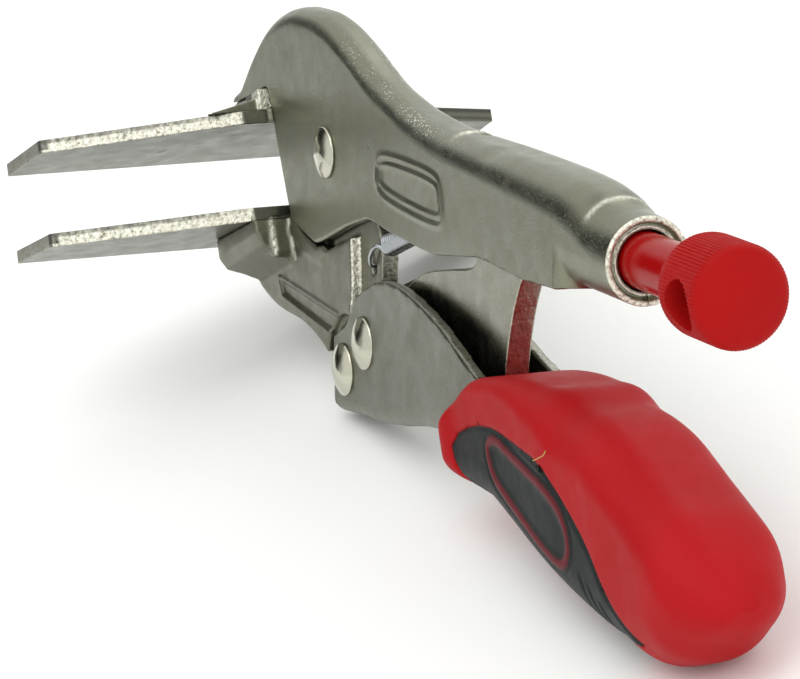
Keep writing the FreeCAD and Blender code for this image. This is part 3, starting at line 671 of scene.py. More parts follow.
def build_shell():
    SH = 2.0
    us = [0.5, 0.8]
    u = 1.3
    while u < 172.4:
        us.append(u)
        if 17.0 <= u < 19.2:
            u += 0.2
        elif 15.2 <= u < 20.0:
            u += 0.3
        elif 58 <= u < 96:
            u += 0.40
        else:
            u += 0.85
    us.append(172.6)
    us = np.array(us)
    n1, n2, n3, nr = 5, 14, 50, 5
    V = []
    theta0 = None
    for u in us:
        w, t, r = float(HALF(u)), float(TOP(u)), float(RAD(u))
        r = min(r, w - 0.02)
        f = float(sstep(15.4, 19.6, u))          # 0 rolled tube, 1 open channel
        lo = float(vlow(max(u, 17.5)))
        lo = min(lo, t - 0.15)

        def half(w, t, r, lo, rt, cz):
            r = max(min(r, w - 0.01, t - lo - 0.01), 0.05)
            a = np.linspace(0, 1, n1, endpoint=False)
            top = np.stack([a * (w - r), np.full(n1, t)], 1)
            ang = np.linspace(math.pi / 2, 0, n2, endpoint=False)
            arc = np.stack([w - r + r * np.cos(ang), t - r + r * np.sin(ang)], 1)
            s = np.linspace(0, 1, n3)
            wall_o = np.stack([np.full(n3, w), (t - r) + (lo - (t - r)) * s], 1)
            # rolled: down to the middle height, then round to the seam
            zt = t - r
            L1, L2 = max(zt - cz, 0.0), rt * math.pi / 2
            d = s * (L1 + L2)
            ph = np.clip((d - L1) / rt, 0, math.pi / 2)
            wall_t = np.where((d <= L1)[:, None], np.stack([np.full(n3, w), zt - d], 1),
                              np.stack([(w - rt) + rt * np.cos(ph), cz - rt * np.sin(ph)], 1))
            wall = wall_t * (1 - f) + wall_o * f
            return np.concatenate([top, arc, wall])
        ho = half(w, t, r, lo, w if f < 1 else 0.6, 0.0)
        if f < 1:
            br = 4.75 if u < 9 else 4.06
            wi = br * (1 - f) + (w - SH) * f
            ti = br * (1 - f) + (t - SH) * f
            ri = wi if f < 1 else max(0.5, r - SH)
        else:
            k = float(sstep(18.4, 22.0, u))
            wi, ti, ri = w - SH, t - SH, max(0.5, r - SH)
        ti = max(ti, lo + 0.02)
        hi = half(wi, ti, ri, lo, wi if f < 1 else 0.5, 0.0)
        hi[:, 1] = np.minimum(np.maximum(hi[:, 1], lo if f >= 1 else -50), ho[:, 1].max() - 0.1)
        # keep a seam gap in the tube
        gap = 0.16 * (1 - f)
        ho[:, 0] = np.where(ho[:, 1] < 0, np.maximum(ho[:, 0], gap), ho[:, 0])
        hi[:, 0] = np.where(hi[:, 1] < 0, np.maximum(hi[:, 0], gap), hi[:, 0])
        # round the rim between outer and inner wall ends
        a, b = ho[-1].copy(), hi[-1].copy()
        rr = 0.26 * f + 0.12 * (1 - f)
        ho[-1, 1] += rr * f
        hi[-1, 1] += rr * f
        rim = []
        for s in np.linspace(0, 1, nr + 2)[1:-1]:
            p = a * (1 - s) + b * s
            e = max(0.0, abs(2 * s - 1) - 0.45) / 0.55
            p[1] += rr * f * (1 - math.sqrt(max(0.0, 1 - e * e)))
            rim.append(p)
        rim = np.array(rim)
        right = np.concatenate([ho, rim, hi[::-1]])   # positive half: outer top to inner top
        loop = np.concatenate([right, (right[1:-1] * [-1, 1])[::-1]])
        V.append((u, loop))
    n = len(V[0][1])
    H = n1 + n2 + n3
    pts = np.concatenate([axp(np.full(n, u), lp[:, 1], lp[:, 0]) for u, lp in V])
    uu = np.repeat(us, n)
    yy = np.concatenate([lp[:, 0] for _, lp in V])
    vv = np.concatenate([lp[:, 1] for _, lp in V])
    outer = np.zeros(n, bool)
    outer[:H] = True
    outer[n - H + 1:] = True
    outer_all = np.tile(outer, len(us))
    rimm = np.zeros(n, bool)
    rimm[H - 1:H + nr + 1] = True
    rimm[n - H - nr - 1 + 1:n - H + 2] = True
    rim_all = np.tile(rimm, len(us))
    # outward direction in the section plane (approximate): away from the axis line of the section
    w = HALF(uu)
    wall = outer_all & (np.abs(yy) > w - 0.02)
    side = np.where(yy > 0, 1.0, -1.0)
    # plain double-rimmed frame stamped in both sides
    xz = pts[:, [0, 2]]
    sd = poly_sd(xz, FRAME_POLY)
    h = 0.36 * ridge(sd, 0.0, 0.42) + 0.30 * ridge(sd, -1.55, 0.36) - 0.16 * ridge(sd, -0.8, 0.36)
    h -= 0.10 * sstep(-1.6, -2.4, sd)
    h = np.where(wall, h, 0.0) * sstep(17.5, 22.0, uu)
    pts[:, 1] += side * h
    # gentle unevenness of hand-polished sheet, and the rubbed weld mark on the back
    amp = 0.04 * fbm(pts / 12.0, 3)
    ny = np.where(np.abs(yy) > w - 0.02, side, 0.0)
    nv = np.where(ny == 0, 1.0, 0.0)
    dirv = axp(0, 1, 0) - axp(0, 0, 0)
    m = outer_all.astype(float)
    pts[:, 1] += ny * amp * m
    pts += (nv * amp * m)[:, None] * dirv
    mark = np.exp(-(((uu - 67.6 + 0.25 * yy) / 1.35) ** 2 + ((yy - 0.2) / 3.1) ** 2) ** 2) * m * (vv > 6)
    nick = np.exp(-(((uu - 65.4) / 1.3) ** 2 + ((yy + 2.7) / 1.6) ** 2) ** 2) * m * (vv > 6)
    dent = np.exp(-(((pts[:, 0] + 129.0) / 3.0) ** 2 + ((pts[:, 1] - 3.4) / 1.8) ** 2) ** 2) * m * (vv > 6)
    pts += (mark * (0.14 + 0.22 * vnoise(pts * 2.2, 5)) - 0.25 * dent - 0.9 * nick)[:, None] * dirv
    # nick above the lug
    edge = np.where(rim_all, 0.55, 0.0) * sstep(30, 10, uu) + 0.08 * rim_all
    # slight raised crease where the handle meets the collar, with a painted highlight line along it
    crease = outer_all * ridge(uu, 9.85, 0.36) * sstep(4.4, 5.6, vv)
    pts += (crease * 0.12)[:, None] * dirv
    edge = np.clip(edge + mark * 0.95 + crease * 0.75, 0, 1)
    # painted shade: dark in the nick, and a dark band across the top just past the collar join
    shade = 0.85 * nick + 0.25 * outer_all * ridge(uu, 11.6, 1.2) * sstep(2.2, 4.2, vv) * sstep(7.5, 5.0, np.abs(yy) + 2)
    tt_ = np.degrees(np.arcsin(np.clip((vv - (TOP(uu) - RAD(uu))) / RAD(uu), -1, 1)))
    # painted glints: white specks over the rounded upper folds of the hump
    spark = outer_all * sstep(5, 30, tt_) * (1 - sstep(58, 84, tt_)) * sstep(58, 84, uu) * (1 - sstep(106, 124, uu)) * sstep(-0.5, 0.5, fbm(pts / 4.0, 15))
    F = grid_faces(len(us), n, True)
    # front end
    o = (len(us) - 1) * n
    half_pairs = []
    for j in range(H - 1):
        half_pairs.append((o + j, o + j + 1, o + (2 * H + nr - 1) - (j + 1), o + (2 * H + nr - 1) - j))
    F += half_pairs
    F.append(tuple([o + k for k in range(H - 1, H + nr + 1)]))
    mir = lambda k: o + (n - (k - o)) % n
    F += [tuple(mir(k) for k in f)[::-1] for f in half_pairs]
    F.append(tuple(mir(o + k) for k in range(H - 1, H + nr + 1))[::-1])
    # rear end: rings of the collar's mouth, from the outer edge to the counterbore
    prof = [(0.22, 6.76), (0.05, 6.60), (0.0, 6.35), (0.02, 6.0), (0.25, 5.86), (0.85, 5.66), (1.0, 5.45), (0.55, 5.28), (0.42, 5.10), (0.48, 4.90), (0.62, 4.80)]
    base = len(pts)
    outer_idx = [(n - k) % n for k in range(H - 1, 0, -1)] + list(range(0, H))
    inner_of = {k: 2 * H + nr - 1 - k for k in range(H)}
    inner_idx = []
    for k in outer_idx:
        kk = k if k < H else n - k
        j = inner_of[kk]
        inner_idx.append(j if k < H else (n - j) % n)
    oy, ov = yy[outer_idx], vv[outer_idx]
    ang = np.arctan2(ov, oy)
    rings = []
    for pu, pr in prof:
        jag = 0.05 * vnoise(np.stack([np.cos(ang) * 9, np.sin(ang) * 9, np.full(len(ang), pu + pr)], 1), 4) if pr > 5.9 or 4.9 < pr < 5.3 else 0
        rings.append(axp(np.full(len(ang), pu) - np.abs(jag), pr * np.sin(ang), pr * np.cos(ang)))
    pts = np.concatenate([pts] + rings)
    m_ = len(outer_idx)
    e2 = [np.full(m_, 1.0 if (pr > 5.95 or 4.85 < pr < 5.35) else 0.0) for _, pr in prof]
    edge = np.concatenate([edge] + e2)
    spark = np.concatenate([spark, np.zeros(len(edge) - len(spark))])
    shade = np.concatenate([shade, np.zeros(len(edge) - len(shade))])
    seq = [outer_idx] + [[base + k * m_ + j for j in range(m_)] for k in range(len(prof))] + [inner_idx]
    for ra, rb in zip(seq, seq[1:]):
        for j in range(m_ - 1):
            F.append((ra[j], ra[j + 1], rb[j + 1], rb[j]))
    rr_ = [H - 1 + k for k in range(nr + 2)]
    F.append(tuple([r[-1] for r in seq] + rr_[::-1][1:-1]))
    F.append(tuple(([r[0] for r in seq] + [(n - k) % n for k in rr_][::-1][1:-1])[::-1]))
    return mesh_obj("shell", pts, F, "frame", M_NICKEL, ["upper_handle_shell"], True, {"edge": edge, "spark": spark, "dark": shade})


shell = build_shell()

# ---------------------------------------------------------------------------
# Jaw plates
# ---------------------------------------------------------------------------
PH, PS, PT, PTIP, PMID, PK = 43.7, 1.1, 2.4, 18.1, 30.8, 9.8
PLATE = [(0, PH + PS), (-PTIP, PH), (-PMID, PK), (-PMID, -PK), (-PTIP, -PH), (0, -PH - PS)]


def plate_mask(p):
    lim = -PMID + (np.abs(p[:, 1]) - PK) / (PH - PK) * (PMID - PTIP)
    on = (np.abs(p[:, 0] - lim) < 0.25) & (np.abs(p[:, 1]) > PK - 0.4) & (np.abs(p[:, 1]) < PH - 0.3)
    return on.astype(float)


# Painted shade on the sheared plate edges: a dark band along the rolled top of the edge, dark tips, and on the upper
# plate dark bands along the edges of its right-hand end; also sets how bright the edge colour is.
def plate_edge_tone_and_shade(seed, far):
    def f(p, s, e, side):
        n = vnoise(np.stack([p[:, 1] * 2.6, np.full(len(p), s * 3.0), np.full(len(p), 7.0)], 1), seed)
        roll = sstep(0.60, 0.74, s) * sstep(6.0, 22.0, np.abs(p[:, 1])) * (e > 0)
        k = roll * np.clip(0.30 + 0.55 * n, 0, 0.9)
        e2 = e * (1 - roll * 0.65)
        tip = (np.abs(np.abs(p[:, 1]) - (PH - 0.5)) < 1.0) & (p[:, 0] < -PTIP + 0.6) & (side > 0)
        k = np.where(tip & (s > 0.2), 0.75, k)
        end = (np.abs(p[:, 1]) > PH - 0.15) & (side > 0) & ~tip
        e2 = np.where(end, 0.22, e2)
        if far:
            back = p[:, 1] < -20
            e2 = np.where(back, 0.0, e2)
            k = np.where(back, side * 0.75 * (ridge(np.full(len(p), s), 0.80, 0.16) + 0.8 * ridge(np.full(len(p), s), 0.22, 0.12)), k)
        return np.clip(e2, 0, 1), np.clip(k, 0, 1)
    return f


def sheared(seed, far=False):
    def f(pts, p, s):
        q = np.stack([p[:, 1] * 1.6, np.full(len(p), s * 1.3), np.full(len(p), 0.0)], 1)
        a = 0.10 * vnoise(q * [1.3, 1, 1], seed) + 0.07 * vnoise(q * [2.9, 2, 1], seed + 5)
        tear = np.maximum(0, vnoise(np.stack([p[:, 1] * 0.9, np.full(len(p), 3.0), np.full(len(p), 0.0)], 1), seed + 9))
        top = sstep(0.62, 1.0, np.full(len(p), s))
        d = a - 0.22 * tear * top - 0.05
        return np.where(p[:, 1] < -20, 0.0, d) if far else d
    return f


slab("jaw_plate_upper", PLATE, lambda x, y, t: np.stack([x, y, t], 1), 0.0, PT, 0.22, "frame", M_PLATE,
     ["upper_jaw_plate"], step=0.28, nth=10, rough=sheared(11, True), mask=plate_mask, edge_tone_and_shade=plate_edge_tone_and_shade(13, True))
LD = math.radians(2.6)


def low_place(x, y, t):
    return np.stack([1.2 + x * math.cos(LD) - t * math.sin(LD), y, -16.0 + x * math.sin(LD) + t * math.cos(LD)], 1)


slab("jaw_plate_lower", PLATE, low_place, 0.0, PT, 0.22, "lower_jaw", M_PLATE,
     ["lower_jaw_plate"], step=0.28, nth=10, rough=sheared(23), mask=plate_mask, edge_tone_and_shade=plate_edge_tone_and_shade(29, False))

# ---------------------------------------------------------------------------
# Toggle link
# ---------------------------------------------------------------------------
D = (-123.6, -36.5)
link = [(-56.4, -44.6), (-58.6, -41.6), (-62.0, -40.6), (-70.0, -40.9), (-78.0, -40.4), (-84.5, -39.6), (-90.0, -39.6), (-100.0, -41.4), (-108.6, -43.2), (-111.6, -42.6),
        (-114.6, -39.0), (-118.6, -34.6)]
for i in range(12):
    t = math.radians(95 + i * 165 / 11.0)
    link.append((D[0] + 5.3 * math.cos(t), D[1] + 5.3 * math.sin(t)))
link += [(-125.4, -44.6), (-128.9, -46.6), (-129.6, -48.6), (-126.6, -50.4), (-122.9, -53.6), (-119.4, -57.6), (-116.6, -61.6), (-114.4, -66.0), (-112.6, -67.6), (-108.0, -65.8),
         (-100.0, -60.6), (-90.0, -55.6), (-78.0, -52.8), (-66.0, -51.2), (-62.0, -51.8), (-58.6, -51.0), (-56.2, -48.4)]


def link_rough(pts, p, s):
    return 0.05 * vnoise(np.stack([p[:, 0] * 1.8, p[:, 1] * 1.8, np.full(len(p), s * 2.0)], 1), 31)


slab("link_plate", chaikin(link, 1), lambda x, z, t: np.stack([x, t, z], 1), -2.05, 2.05, 0.3, "toggle_link", M_LINK,
     ["toggle_link"], step=0.4, nth=10, rough=link_rough, mask=lambda p: np.full(len(p), 0.35))

# ---------------------------------------------------------------------------
# Lower jaw arm, upper web, welds and lever: soft-edged copies of the solids
# ---------------------------------------------------------------------------
BAR = [(-21.6, -26.7), (-22.3, -29.9), (-46.9, -42.3), (-49.2, -39.3)]


def arm_displace(co, nr):
    d = 0.05 * fbm(co / 5.0, 21) + 0.02 * fbm(co / 1.3, 22)
    face = (np.abs(np.abs(co[:, 1]) - 3.45) < 0.25) | (np.abs(np.abs(co[:, 1]) - 3.1) < 0.25)
    sd = poly_sd(co[:, [0, 2]], BAR)
    d += np.where(face, 0.24 * ridge(sd, 0.25, 0.45), 0)
    return d


# Painted highlights in the bright edge colour on the step, the rear faces and the boss's vertical ridges; painted shade
# on the rear faces and in the slot where the spring's hook sits.
def arm_masks(co, nr):
    step = (nr[:, 0] < -0.35) & (np.abs(co[:, 1]) > 1.75) & (np.abs(co[:, 1]) < 3.38) & (co[:, 0] < -52) & (co[:, 0] > -62.5) & (co[:, 2] < -26)
    back = (nr[:, 0] < -0.5) & (np.abs(co[:, 1]) < 1.5) & (co[:, 0] < -62)
    ridges = np.exp(-((np.abs(co[:, 1]) - 6.9) / 0.45) ** 2) * sstep(-30.3, -31.2, co[:, 0]) * (co[:, 2] < -15) + 0.8 * np.exp(-((np.abs(co[:, 1]) - 3.4) / 0.4) ** 2) * sstep(-30.6, -31.3, co[:, 0]) * (co[:, 2] < -16) * (co[:, 2] > -25.5) * (co[:, 0] > -32.2)
    hook = np.exp(-(((co[:, 0] + 64.6) / 1.1) ** 2 + ((co[:, 2] + 33.4) / 1.9) ** 2) ** 2)
    return {"edge": np.clip(step * 1.0 + back * 0.55 + ridges * 0.8, 0, 1), "dark": np.clip(back * 0.35 + 0.85 * hook, 0, 1)}


CHEEK = [(-32.4, -16.8), (-33.6, -18.2), (-35.0, -19.7), (-37.2, -21.5), (-43.4, -25.5), (-46.5, -25.9), (-48.5, -27.5), (-44.0, -28.5), (-36.0, -25.0), (-31.8, -20.5)]
voxel_copy("jaw_arm", [nodes["lower_jaw_arm"]], 0.30, 9, "lower_jaw", M_FORGED, ["lower_jaw_arm"], extra=[prism_mesh(CHEEK, -3.8, 3.8)],
           masks=arm_masks, displace=arm_displace)
# The web's lug faces take the bright edge colour as a painted highlight.
voxel_copy("upper_web", [nodes["upper_jaw_web"]], 0.22, 2, "frame", M_FORGED, ["upper_jaw_web"],
           masks=lambda co, nr: {"edge": ((co[:, 0] < -27.5) & (np.abs(co[:, 1]) > 3.3) & (co[:, 2] > 2.5) & (np.abs(co[:, 1]) < 6.2)) * 0.8},
           displace=lambda co, nr: 0.05 * fbm(co / 3.0, 41))
voxel_copy("weld_upper", [nodes["upper_jaw_welds"]], 0.10, 2, "frame", M_FORGED, ["upper_jaw_welds"],
           displace=lambda co, nr: 0.06 * fbm(co / 0.6, 51))
voxel_copy("weld_lower", [nodes["lower_jaw_welds"]], 0.10, 2, "lower_jaw", M_FORGED, ["lower_jaw_welds"],
           displace=lambda co, nr: 0.06 * fbm(co / 0.6, 52))


# Painted highlight along the upward-facing rims of the channel, with a little painted shade on them; painted shade on
# the walls inside the channel.
def lever_masks(co, nr):
    rim = (np.abs(nr[:, 1]) < 0.5) & (np.abs(co[:, 1]) > 1.2) & (co[:, 2] > -66 - 0.55 * (co[:, 0] + 110)) & (nr[:, 2] > 0.1)
    inside = sstep(0.3, -0.3, np.abs(co[:, 1]) - 3.2) * (nr[:, 1] * np.sign(co[:, 1]) < 0.3)
    return {"edge": rim * 0.45, "dark": 0.30 * inside + 0.20 * rim}


voxel_copy("lever_channel", [nodes["lower_lever_channel"]], 0.40, 2, "lower_handle", M_LEVER, ["lower_lever_channel"],
           masks=lever_masks, displace=lambda co, nr: 0.03 * fbm(co / 7.0, 61))


# ---------------------------------------------------------------------------
# Rivets: domed heads with a thin rolled rim, both sides, on a plain pin
# ---------------------------------------------------------------------------
def rivet(name, c, half, r, h, body, cad, dimple=0.0):
    prof = [(0.0, half + h)]
    for k in range(1, 22):
        a = k / 21.0
        rr = r * 0.93 * math.sin(a * math.pi / 2)
        hh = 0.5 + (h - 0.5) * (1 - (rr / (r * 0.97)) ** 2)
        prof.append((rr, half + hh))
    prof += [(r * 0.955, half + 0.56), (r * 0.985, half + 0.46), (r, half + 0.30), (r, half + 0.14), (r * 0.985, half + 0.03), (r * 0.96, half - 0.02), (3.02, half - 0.03), (3.0, half - 0.2)]
    full = prof + [(a, -b) for a, b in prof[::-1]]
    V, F = lathe(full, 96)
    V = V + np.stack([0.03 * vnoise(V * 0.9 + 5, 71), 0.03 * vnoise(V * 0.9, 72), 0.03 * vnoise(V * 0.9 + 9, 73)], 1)
    V = V + [c[0], 0, c[1]]
    return mesh_obj(name, V, F, body, M_RIVET, [cad])


rivet("rivet_jaw", A, 3.9, 4.55, 1.65, "frame", "jaw_pivot_rivet")
rivet("rivet_lever", B, 3.95, 4.6, 1.85, "lower_handle", "lever_pivot_rivet")
rivet("rivet_link", C, 4.26, 4.6, 1.8, "lower_handle", "link_pivot_rivet")


# ---------------------------------------------------------------------------
# Adjusting screw, neck and knob
# ---------------------------------------------------------------------------
def ax_lathe(prof, n):
    """prof is (u, r) along the screw axis; returns tool-frame vertices."""
    th = np.linspace(0, 2 * math.pi, n, endpoint=False)
    V = [axp(np.full(n, u), r * np.sin(th), r * np.cos(th)) for u, r in prof]
    return np.concatenate(V), grid_faces(len(prof), n, True), th


V, F, th = ax_lathe([(7.6, 0.0), (7.6, 4.1), (7.4, 4.3), (7.2, 4.35)] + [(u, 4.35) for u in np.linspace(6.5, -16.6, 26)] + [(-17.0, 4.5), (-17.5, 4.9), (-17.55, 0.0)], 96)
mesh_obj("screw_neck", V, F, "screw_neck", M_NECK, ["screw_sleeve"])

# threaded rod: a helical groove of 1.25 mm pitch
nt, pitch = 40, 1.25
us = np.arange(8.0, 46.0, 0.1)
th = np.linspace(0, 2 * math.pi, nt, endpoint=False)
VV = []
for u in [8.0] + list(us) + [46.05]:
    ph = (u / pitch - th / (2 * math.pi)) % 1.0
    r = 3.96 - 0.62 * np.abs(2 * ph - 1) ** 1.0
    cap = 1.0 if 8.0 < u < 45.2 else 0.0
    r = r if cap else np.full(nt, 3.0 if u > 40 else 3.1)
    VV.append(axp(np.full(nt, u), r * np.sin(th), r * np.cos(th)))
VV = [axp(np.full(nt, 8.0), 0 * th, 0 * th)] + VV + [axp(np.full(nt, 46.05), 0 * th, 0 * th)]
V = np.concatenate(VV)
mesh_obj("threaded_rod", V, grid_faces(len(VV), nt, True), "knob", M_SCREW, ["adjusting_screw"])


def build_knob():
    R0, U0, U1 = 7.8, -17.4, -32.4
    prof = [(U0, 0.0), (U0, 4.4), (U0 - 0.05, 5.2), (U0 - 0.35, 5.9), (U0 - 0.9, 6.6), (U0 - 1.5, 7.15), (U0 - 2.1, 7.5), (U0 - 2.8, 7.72)]
    prof += [(u, R0) for u in np.linspace(U0 - 3.4, U1 + 2.2, 34)]
    prof += [(U1 + 1.7, 7.72), (U1 + 1.25, 7.52), (U1 + 0.85, 7.2), (U1 + 0.52, 6.75), (U1 + 0.26, 6.1), (U1 + 0.05, 5.2), (U1 - 0.15, 4.3), (U1 - 0.35, 3.3), (U1 - 0.5, 2.2), (U1 - 0.6, 1.1), (U1 - 0.65, 0.0)]
    n = 528
    V, F, th = ax_lathe(prof, n)
    me = bpy.data.meshes.new("k")
    us_ = np.repeat([p[0] for p in prof], n)
    rs_ = np.repeat([p[1] for p in prof], n)
    tt = np.tile(th, len(prof))
    kn = 0.5 + 0.5 * np.cos(88 * tt)
    amt = sstep(U0 - 1.3, U0 - 2.9, us_) * sstep(U1 + 0.75, U1 + 1.7, us_)
    jit = 0.02 * vnoise(np.stack([np.cos(tt) * 14, np.sin(tt) * 14, us_ * 1.3], 1), 81)
    rs2 = rs_ - amt * (0.17 * (1 - kn) + np.abs(jit))
    V = axp(us_, rs2 * np.sin(tt), rs2 * np.cos(tt))
    me.from_pydata(boxed(row(V)).tolist(), [], F)
    bm = bmesh.new()
    bm.from_mesh(me)
    bmesh.ops.remove_doubles(bm, verts=bm.verts, dist=1e-7)
    bmesh.ops.recalc_face_normals(bm, faces=bm.faces)
    bm.to_mesh(me)
    bm.free()
    ob = bpy.data.objects.new("knob", me)
    COL.objects.link(ob)
    # cross hole, with a flared mouth at each end
    hd = math.radians(-12.0)
    h = np.array([-SA * math.sin(hd), math.cos(hd), CA * math.sin(hd)])
    f = np.array([CA, 0, SA])
    g = np.cross(h, f)
    c = axp(-25.9, 0, 0)
    m = 56
    a = np.linspace(0, 2 * math.pi, m, endpoint=False)
    cv = []
    for s, r in ((-12, 4.05), (-7.75, 4.0), (-7.2, 3.86), (-6.3, 3.8), (6.3, 3.8), (7.2, 3.86), (7.75, 4.0), (12, 4.05)):
        cv.append(c + h * s + r * (np.cos(a)[:, None] * f + np.sin(a)[:, None] * g))
    cv = np.concatenate(cv)
    cf = grid_faces(8, m, True) + [tuple(range(m)), tuple(range(8 * m - 1, 7 * m - 1, -1))]
    cm = bpy.data.meshes.new("kc")
    cm.from_pydata(row(cv).tolist(), [], cf)
    bm = bmesh.new()
    bm.from_mesh(cm)
    bmesh.ops.recalc_face_normals(bm, faces=bm.faces)
    bm.to_mesh(cm)
    bm.free()
    co = bpy.data.objects.new("kc", cm)
    COL.objects.link(co)
    md = ob.modifiers.new("b", "BOOLEAN")
    md.operation = "DIFFERENCE"
    md.solver = "EXACT"
    md.object = co
    bpy.context.view_layer.update()
    dg = bpy.context.evaluated_depsgraph_get()
    new = bpy.data.meshes.new_from_object(ob.evaluated_get(dg))
    bpy.data.objects.remove(co)
    bpy.data.objects.remove(ob)
    new.name = "knob"
    ob = bpy.data.objects.new("knob", new)
    COL.objects.link(ob)
    bm = bmesh.new()
    bm.from_mesh(new)
    for e in bm.edges:
        if len(e.link_faces) == 2 and e.calc_face_angle() > math.radians(50):
            e.smooth = False
    bm.to_mesh(new)
    bm.free()
    new.shade_smooth()
    new.set_sharp_from_angle(angle=math.radians(50))
    new.materials.clear()
    new.materials.append(M_KNOB)
    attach(ob, "knob")
    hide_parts("adjusting_knob")


build_knob()

# ---------------------------------------------------------------------------
# Return spring: a wound wire with a hook at each end
# ---------------------------------------------------------------------------
S0, S1 = np.array([-69.8, 0, -31.0]), np.array([-95.5, 0, -31.8])


def tube_along(path, r, n=10):
    path = np.asarray(path, float)
    t = np.gradient(path, axis=0)
    t /= np.linalg.norm(t, axis=1)[:, None]
    nrm = np.cross(t[0], [0, 1.0, 0.3])
    nrm /= np.linalg.norm(nrm)
    a = np.linspace(0, 2 * math.pi, n, endpoint=False)
    V = []
    for k in range(len(path)):
        nrm = nrm - t[k] * (nrm @ t[k])
        nrm /= np.linalg.norm(nrm)
        bi = np.cross(t[k], nrm)
        V.append(path[k] + r * (np.cos(a)[:, None] * nrm + np.sin(a)[:, None] * bi))
    V = np.concatenate(V)
    F = grid_faces(len(path), n, True) + [tuple(range(n)), tuple(range(len(path) * n - 1, (len(path) - 1) * n - 1, -1))]
    return V, F


def spline(pts, n=10):
    p = np.array([pts[0]] + list(pts) + [pts[-1]], float)
    out = []
    for k in range(1, len(p) - 2):
        for s in np.linspace(0, 1, n, endpoint=False):
            a, b, c, d = p[k - 1], p[k], p[k + 1], p[k + 2]
            out.append(0.5 * ((2 * b) + (-a + c) * s + (2 * a - 5 * b + 4 * c - d) * s * s + (-a + 3 * b - 3 * c + d) * s ** 3))
    out.append(p[-2])
    return np.array(out)


dS = S1 - S0
L = np.linalg.norm(dS)
e1 = dS / L
e2 = np.array([0, 1.0, 0])
e3 = np.cross(e1, e2)
WR, CR = 0.38, 1.80
turns = L / 0.92
s = np.linspace(0, 1, int(turns * 22))
a = 2 * math.pi * turns * s
coil = S0 + e1 * (L * s)[:, None] + CR * (np.cos(a)[:, None] * e2 + np.sin(a)[:, None] * e3)
first = spline([(-64.5, -2.3, -33.2), (-64.35, -1.2, -33.6), (-64.3, 0.6, -33.6), (-64.6, 2.0, -33.3), (-65.8, 2.5, -32.2), (-67.6, 2.5, -31.2), (-69.2, 2.2, -30.9)], 8)
last = spline([tuple(coil[-1]), (-96.3, 0.9, -30.2), (-98.4, 0.1, -28.6), (-100.6, 0, -27.3), (-102.0, 0, -25.8)], 8)
path = np.concatenate([first, coil, last[1:]])
# ease the joint between hook and coil
for _ in range(3):
    q = path.copy()
    k0 = len(first)
    sl = slice(k0 - 5, k0 + 6)
    q[sl] = (path[k0 - 6:k0 + 5] + path[sl] * 2 + path[k0 - 4:k0 + 7]) / 4
    path = q
V, F = tube_along(path, WR, 9)
spr = mesh_obj("return_coil", V, F, None, M_SPRING, ["return_spring"])
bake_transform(spr)

# ---------------------------------------------------------------------------
# Grip: one moulded body with a black inlay each side
# ---------------------------------------------------------------------------
GRIP = [  # x, z top, z bottom, half width, corner radius top, bottom
    (-100.4, -69.0, -72.0, 7.6, 1.2, 1.4),
    (-102.0, -67.6, -74.2, 9.0, 2.0, 2.6),
    (-105.0, -65.46, -76.44, 10.02, 2.6, 4.4),
    (-109.5, -63.68, -79.62, 9.15, 3.2, 6.4),
    (-112.0, -62.83, -81.02, 9.1, 3.4, 7.0),
    (-116.0, -62.23, -83.208, 9.15, 3.6, 7.8),
    (-124.0, -63.25, -89.188, 9.3, 3.8, 8.5),
    (-133.0, -65.44, -95.758, 9.65, 4.0, 8.8),
    (-139.0, -67.63, -99.5637, 10.03, 4.2, 9.0),
    (-144.0, -69.22, -102.6295, 10.2, 4.4, 9.2),
    (-149.0, -72.65, -105.9252, 10.0, 4.6, 9.5),
    (-156.0, -76.08, -109.7152, 10.05, 4.8, 9.8),
    (-160.0, -78.62, -111.3852, 10.25, 5.0, 10.0),
    (-167.0, -84.27, -114.8152, 10.25, 5.6, 9.9),
    (-174.0, -90.23, -115.1452, 10.6, 6.4, 9.4),
    (-178.95, -94.2, -113.3, 10.5, 6.8, 8.8),
    (-182.95, -99.2, -112.1, 8.3, 6.2, 6.2),
    (-185.75, -103.9, -110.6, 5.2, 3.3, 3.3),
    (-186.95, -106.9, -109.3, 1.9, 1.1, 1.1),
]
SIDE = [(-107.7, -74.5), (-107.5, -71.2), (-109.8, -69.6), (-114.0, -69.5), (-119.0, -70.0), (-124.5, -71.4), (-130.0, -73.8), (-135.3, -76.2),
        (-140.2, -78.4), (-144.4, -81.2), (-148.0, -85.2), (-151.2, -88.6), (-154.6, -92.6), (-157.6, -96.8), (-160.2, -101.2),
        (-162.8, -105.0), (-166.3, -109.2), (-169.0, -113.0), (-166.0, -119.0), (-150.0, -114.0), (-130.0, -103.0), (-112.0, -90.0), (-107.9, -86.0)]
GF = {k: pchip([(g[0], g[k]) for g in GRIP]) for k in range(1, 6)}
G_FRAME = chaikin([(-121.0, -74.4), (-122.4, -72.3), (-126.5, -72.6), (-132.0, -76.1), (-138.9, -79.9), (-144.6, -83.2), (-148.8, -87.2), (-150.8, -91.4), (-150.4, -94.8), (-147.8, -97.0), (-144.4, -96.3), (-138.3, -92.1), (-133.5, -88.5), (-127.0, -83.5), (-122.2, -79.2)], 1)


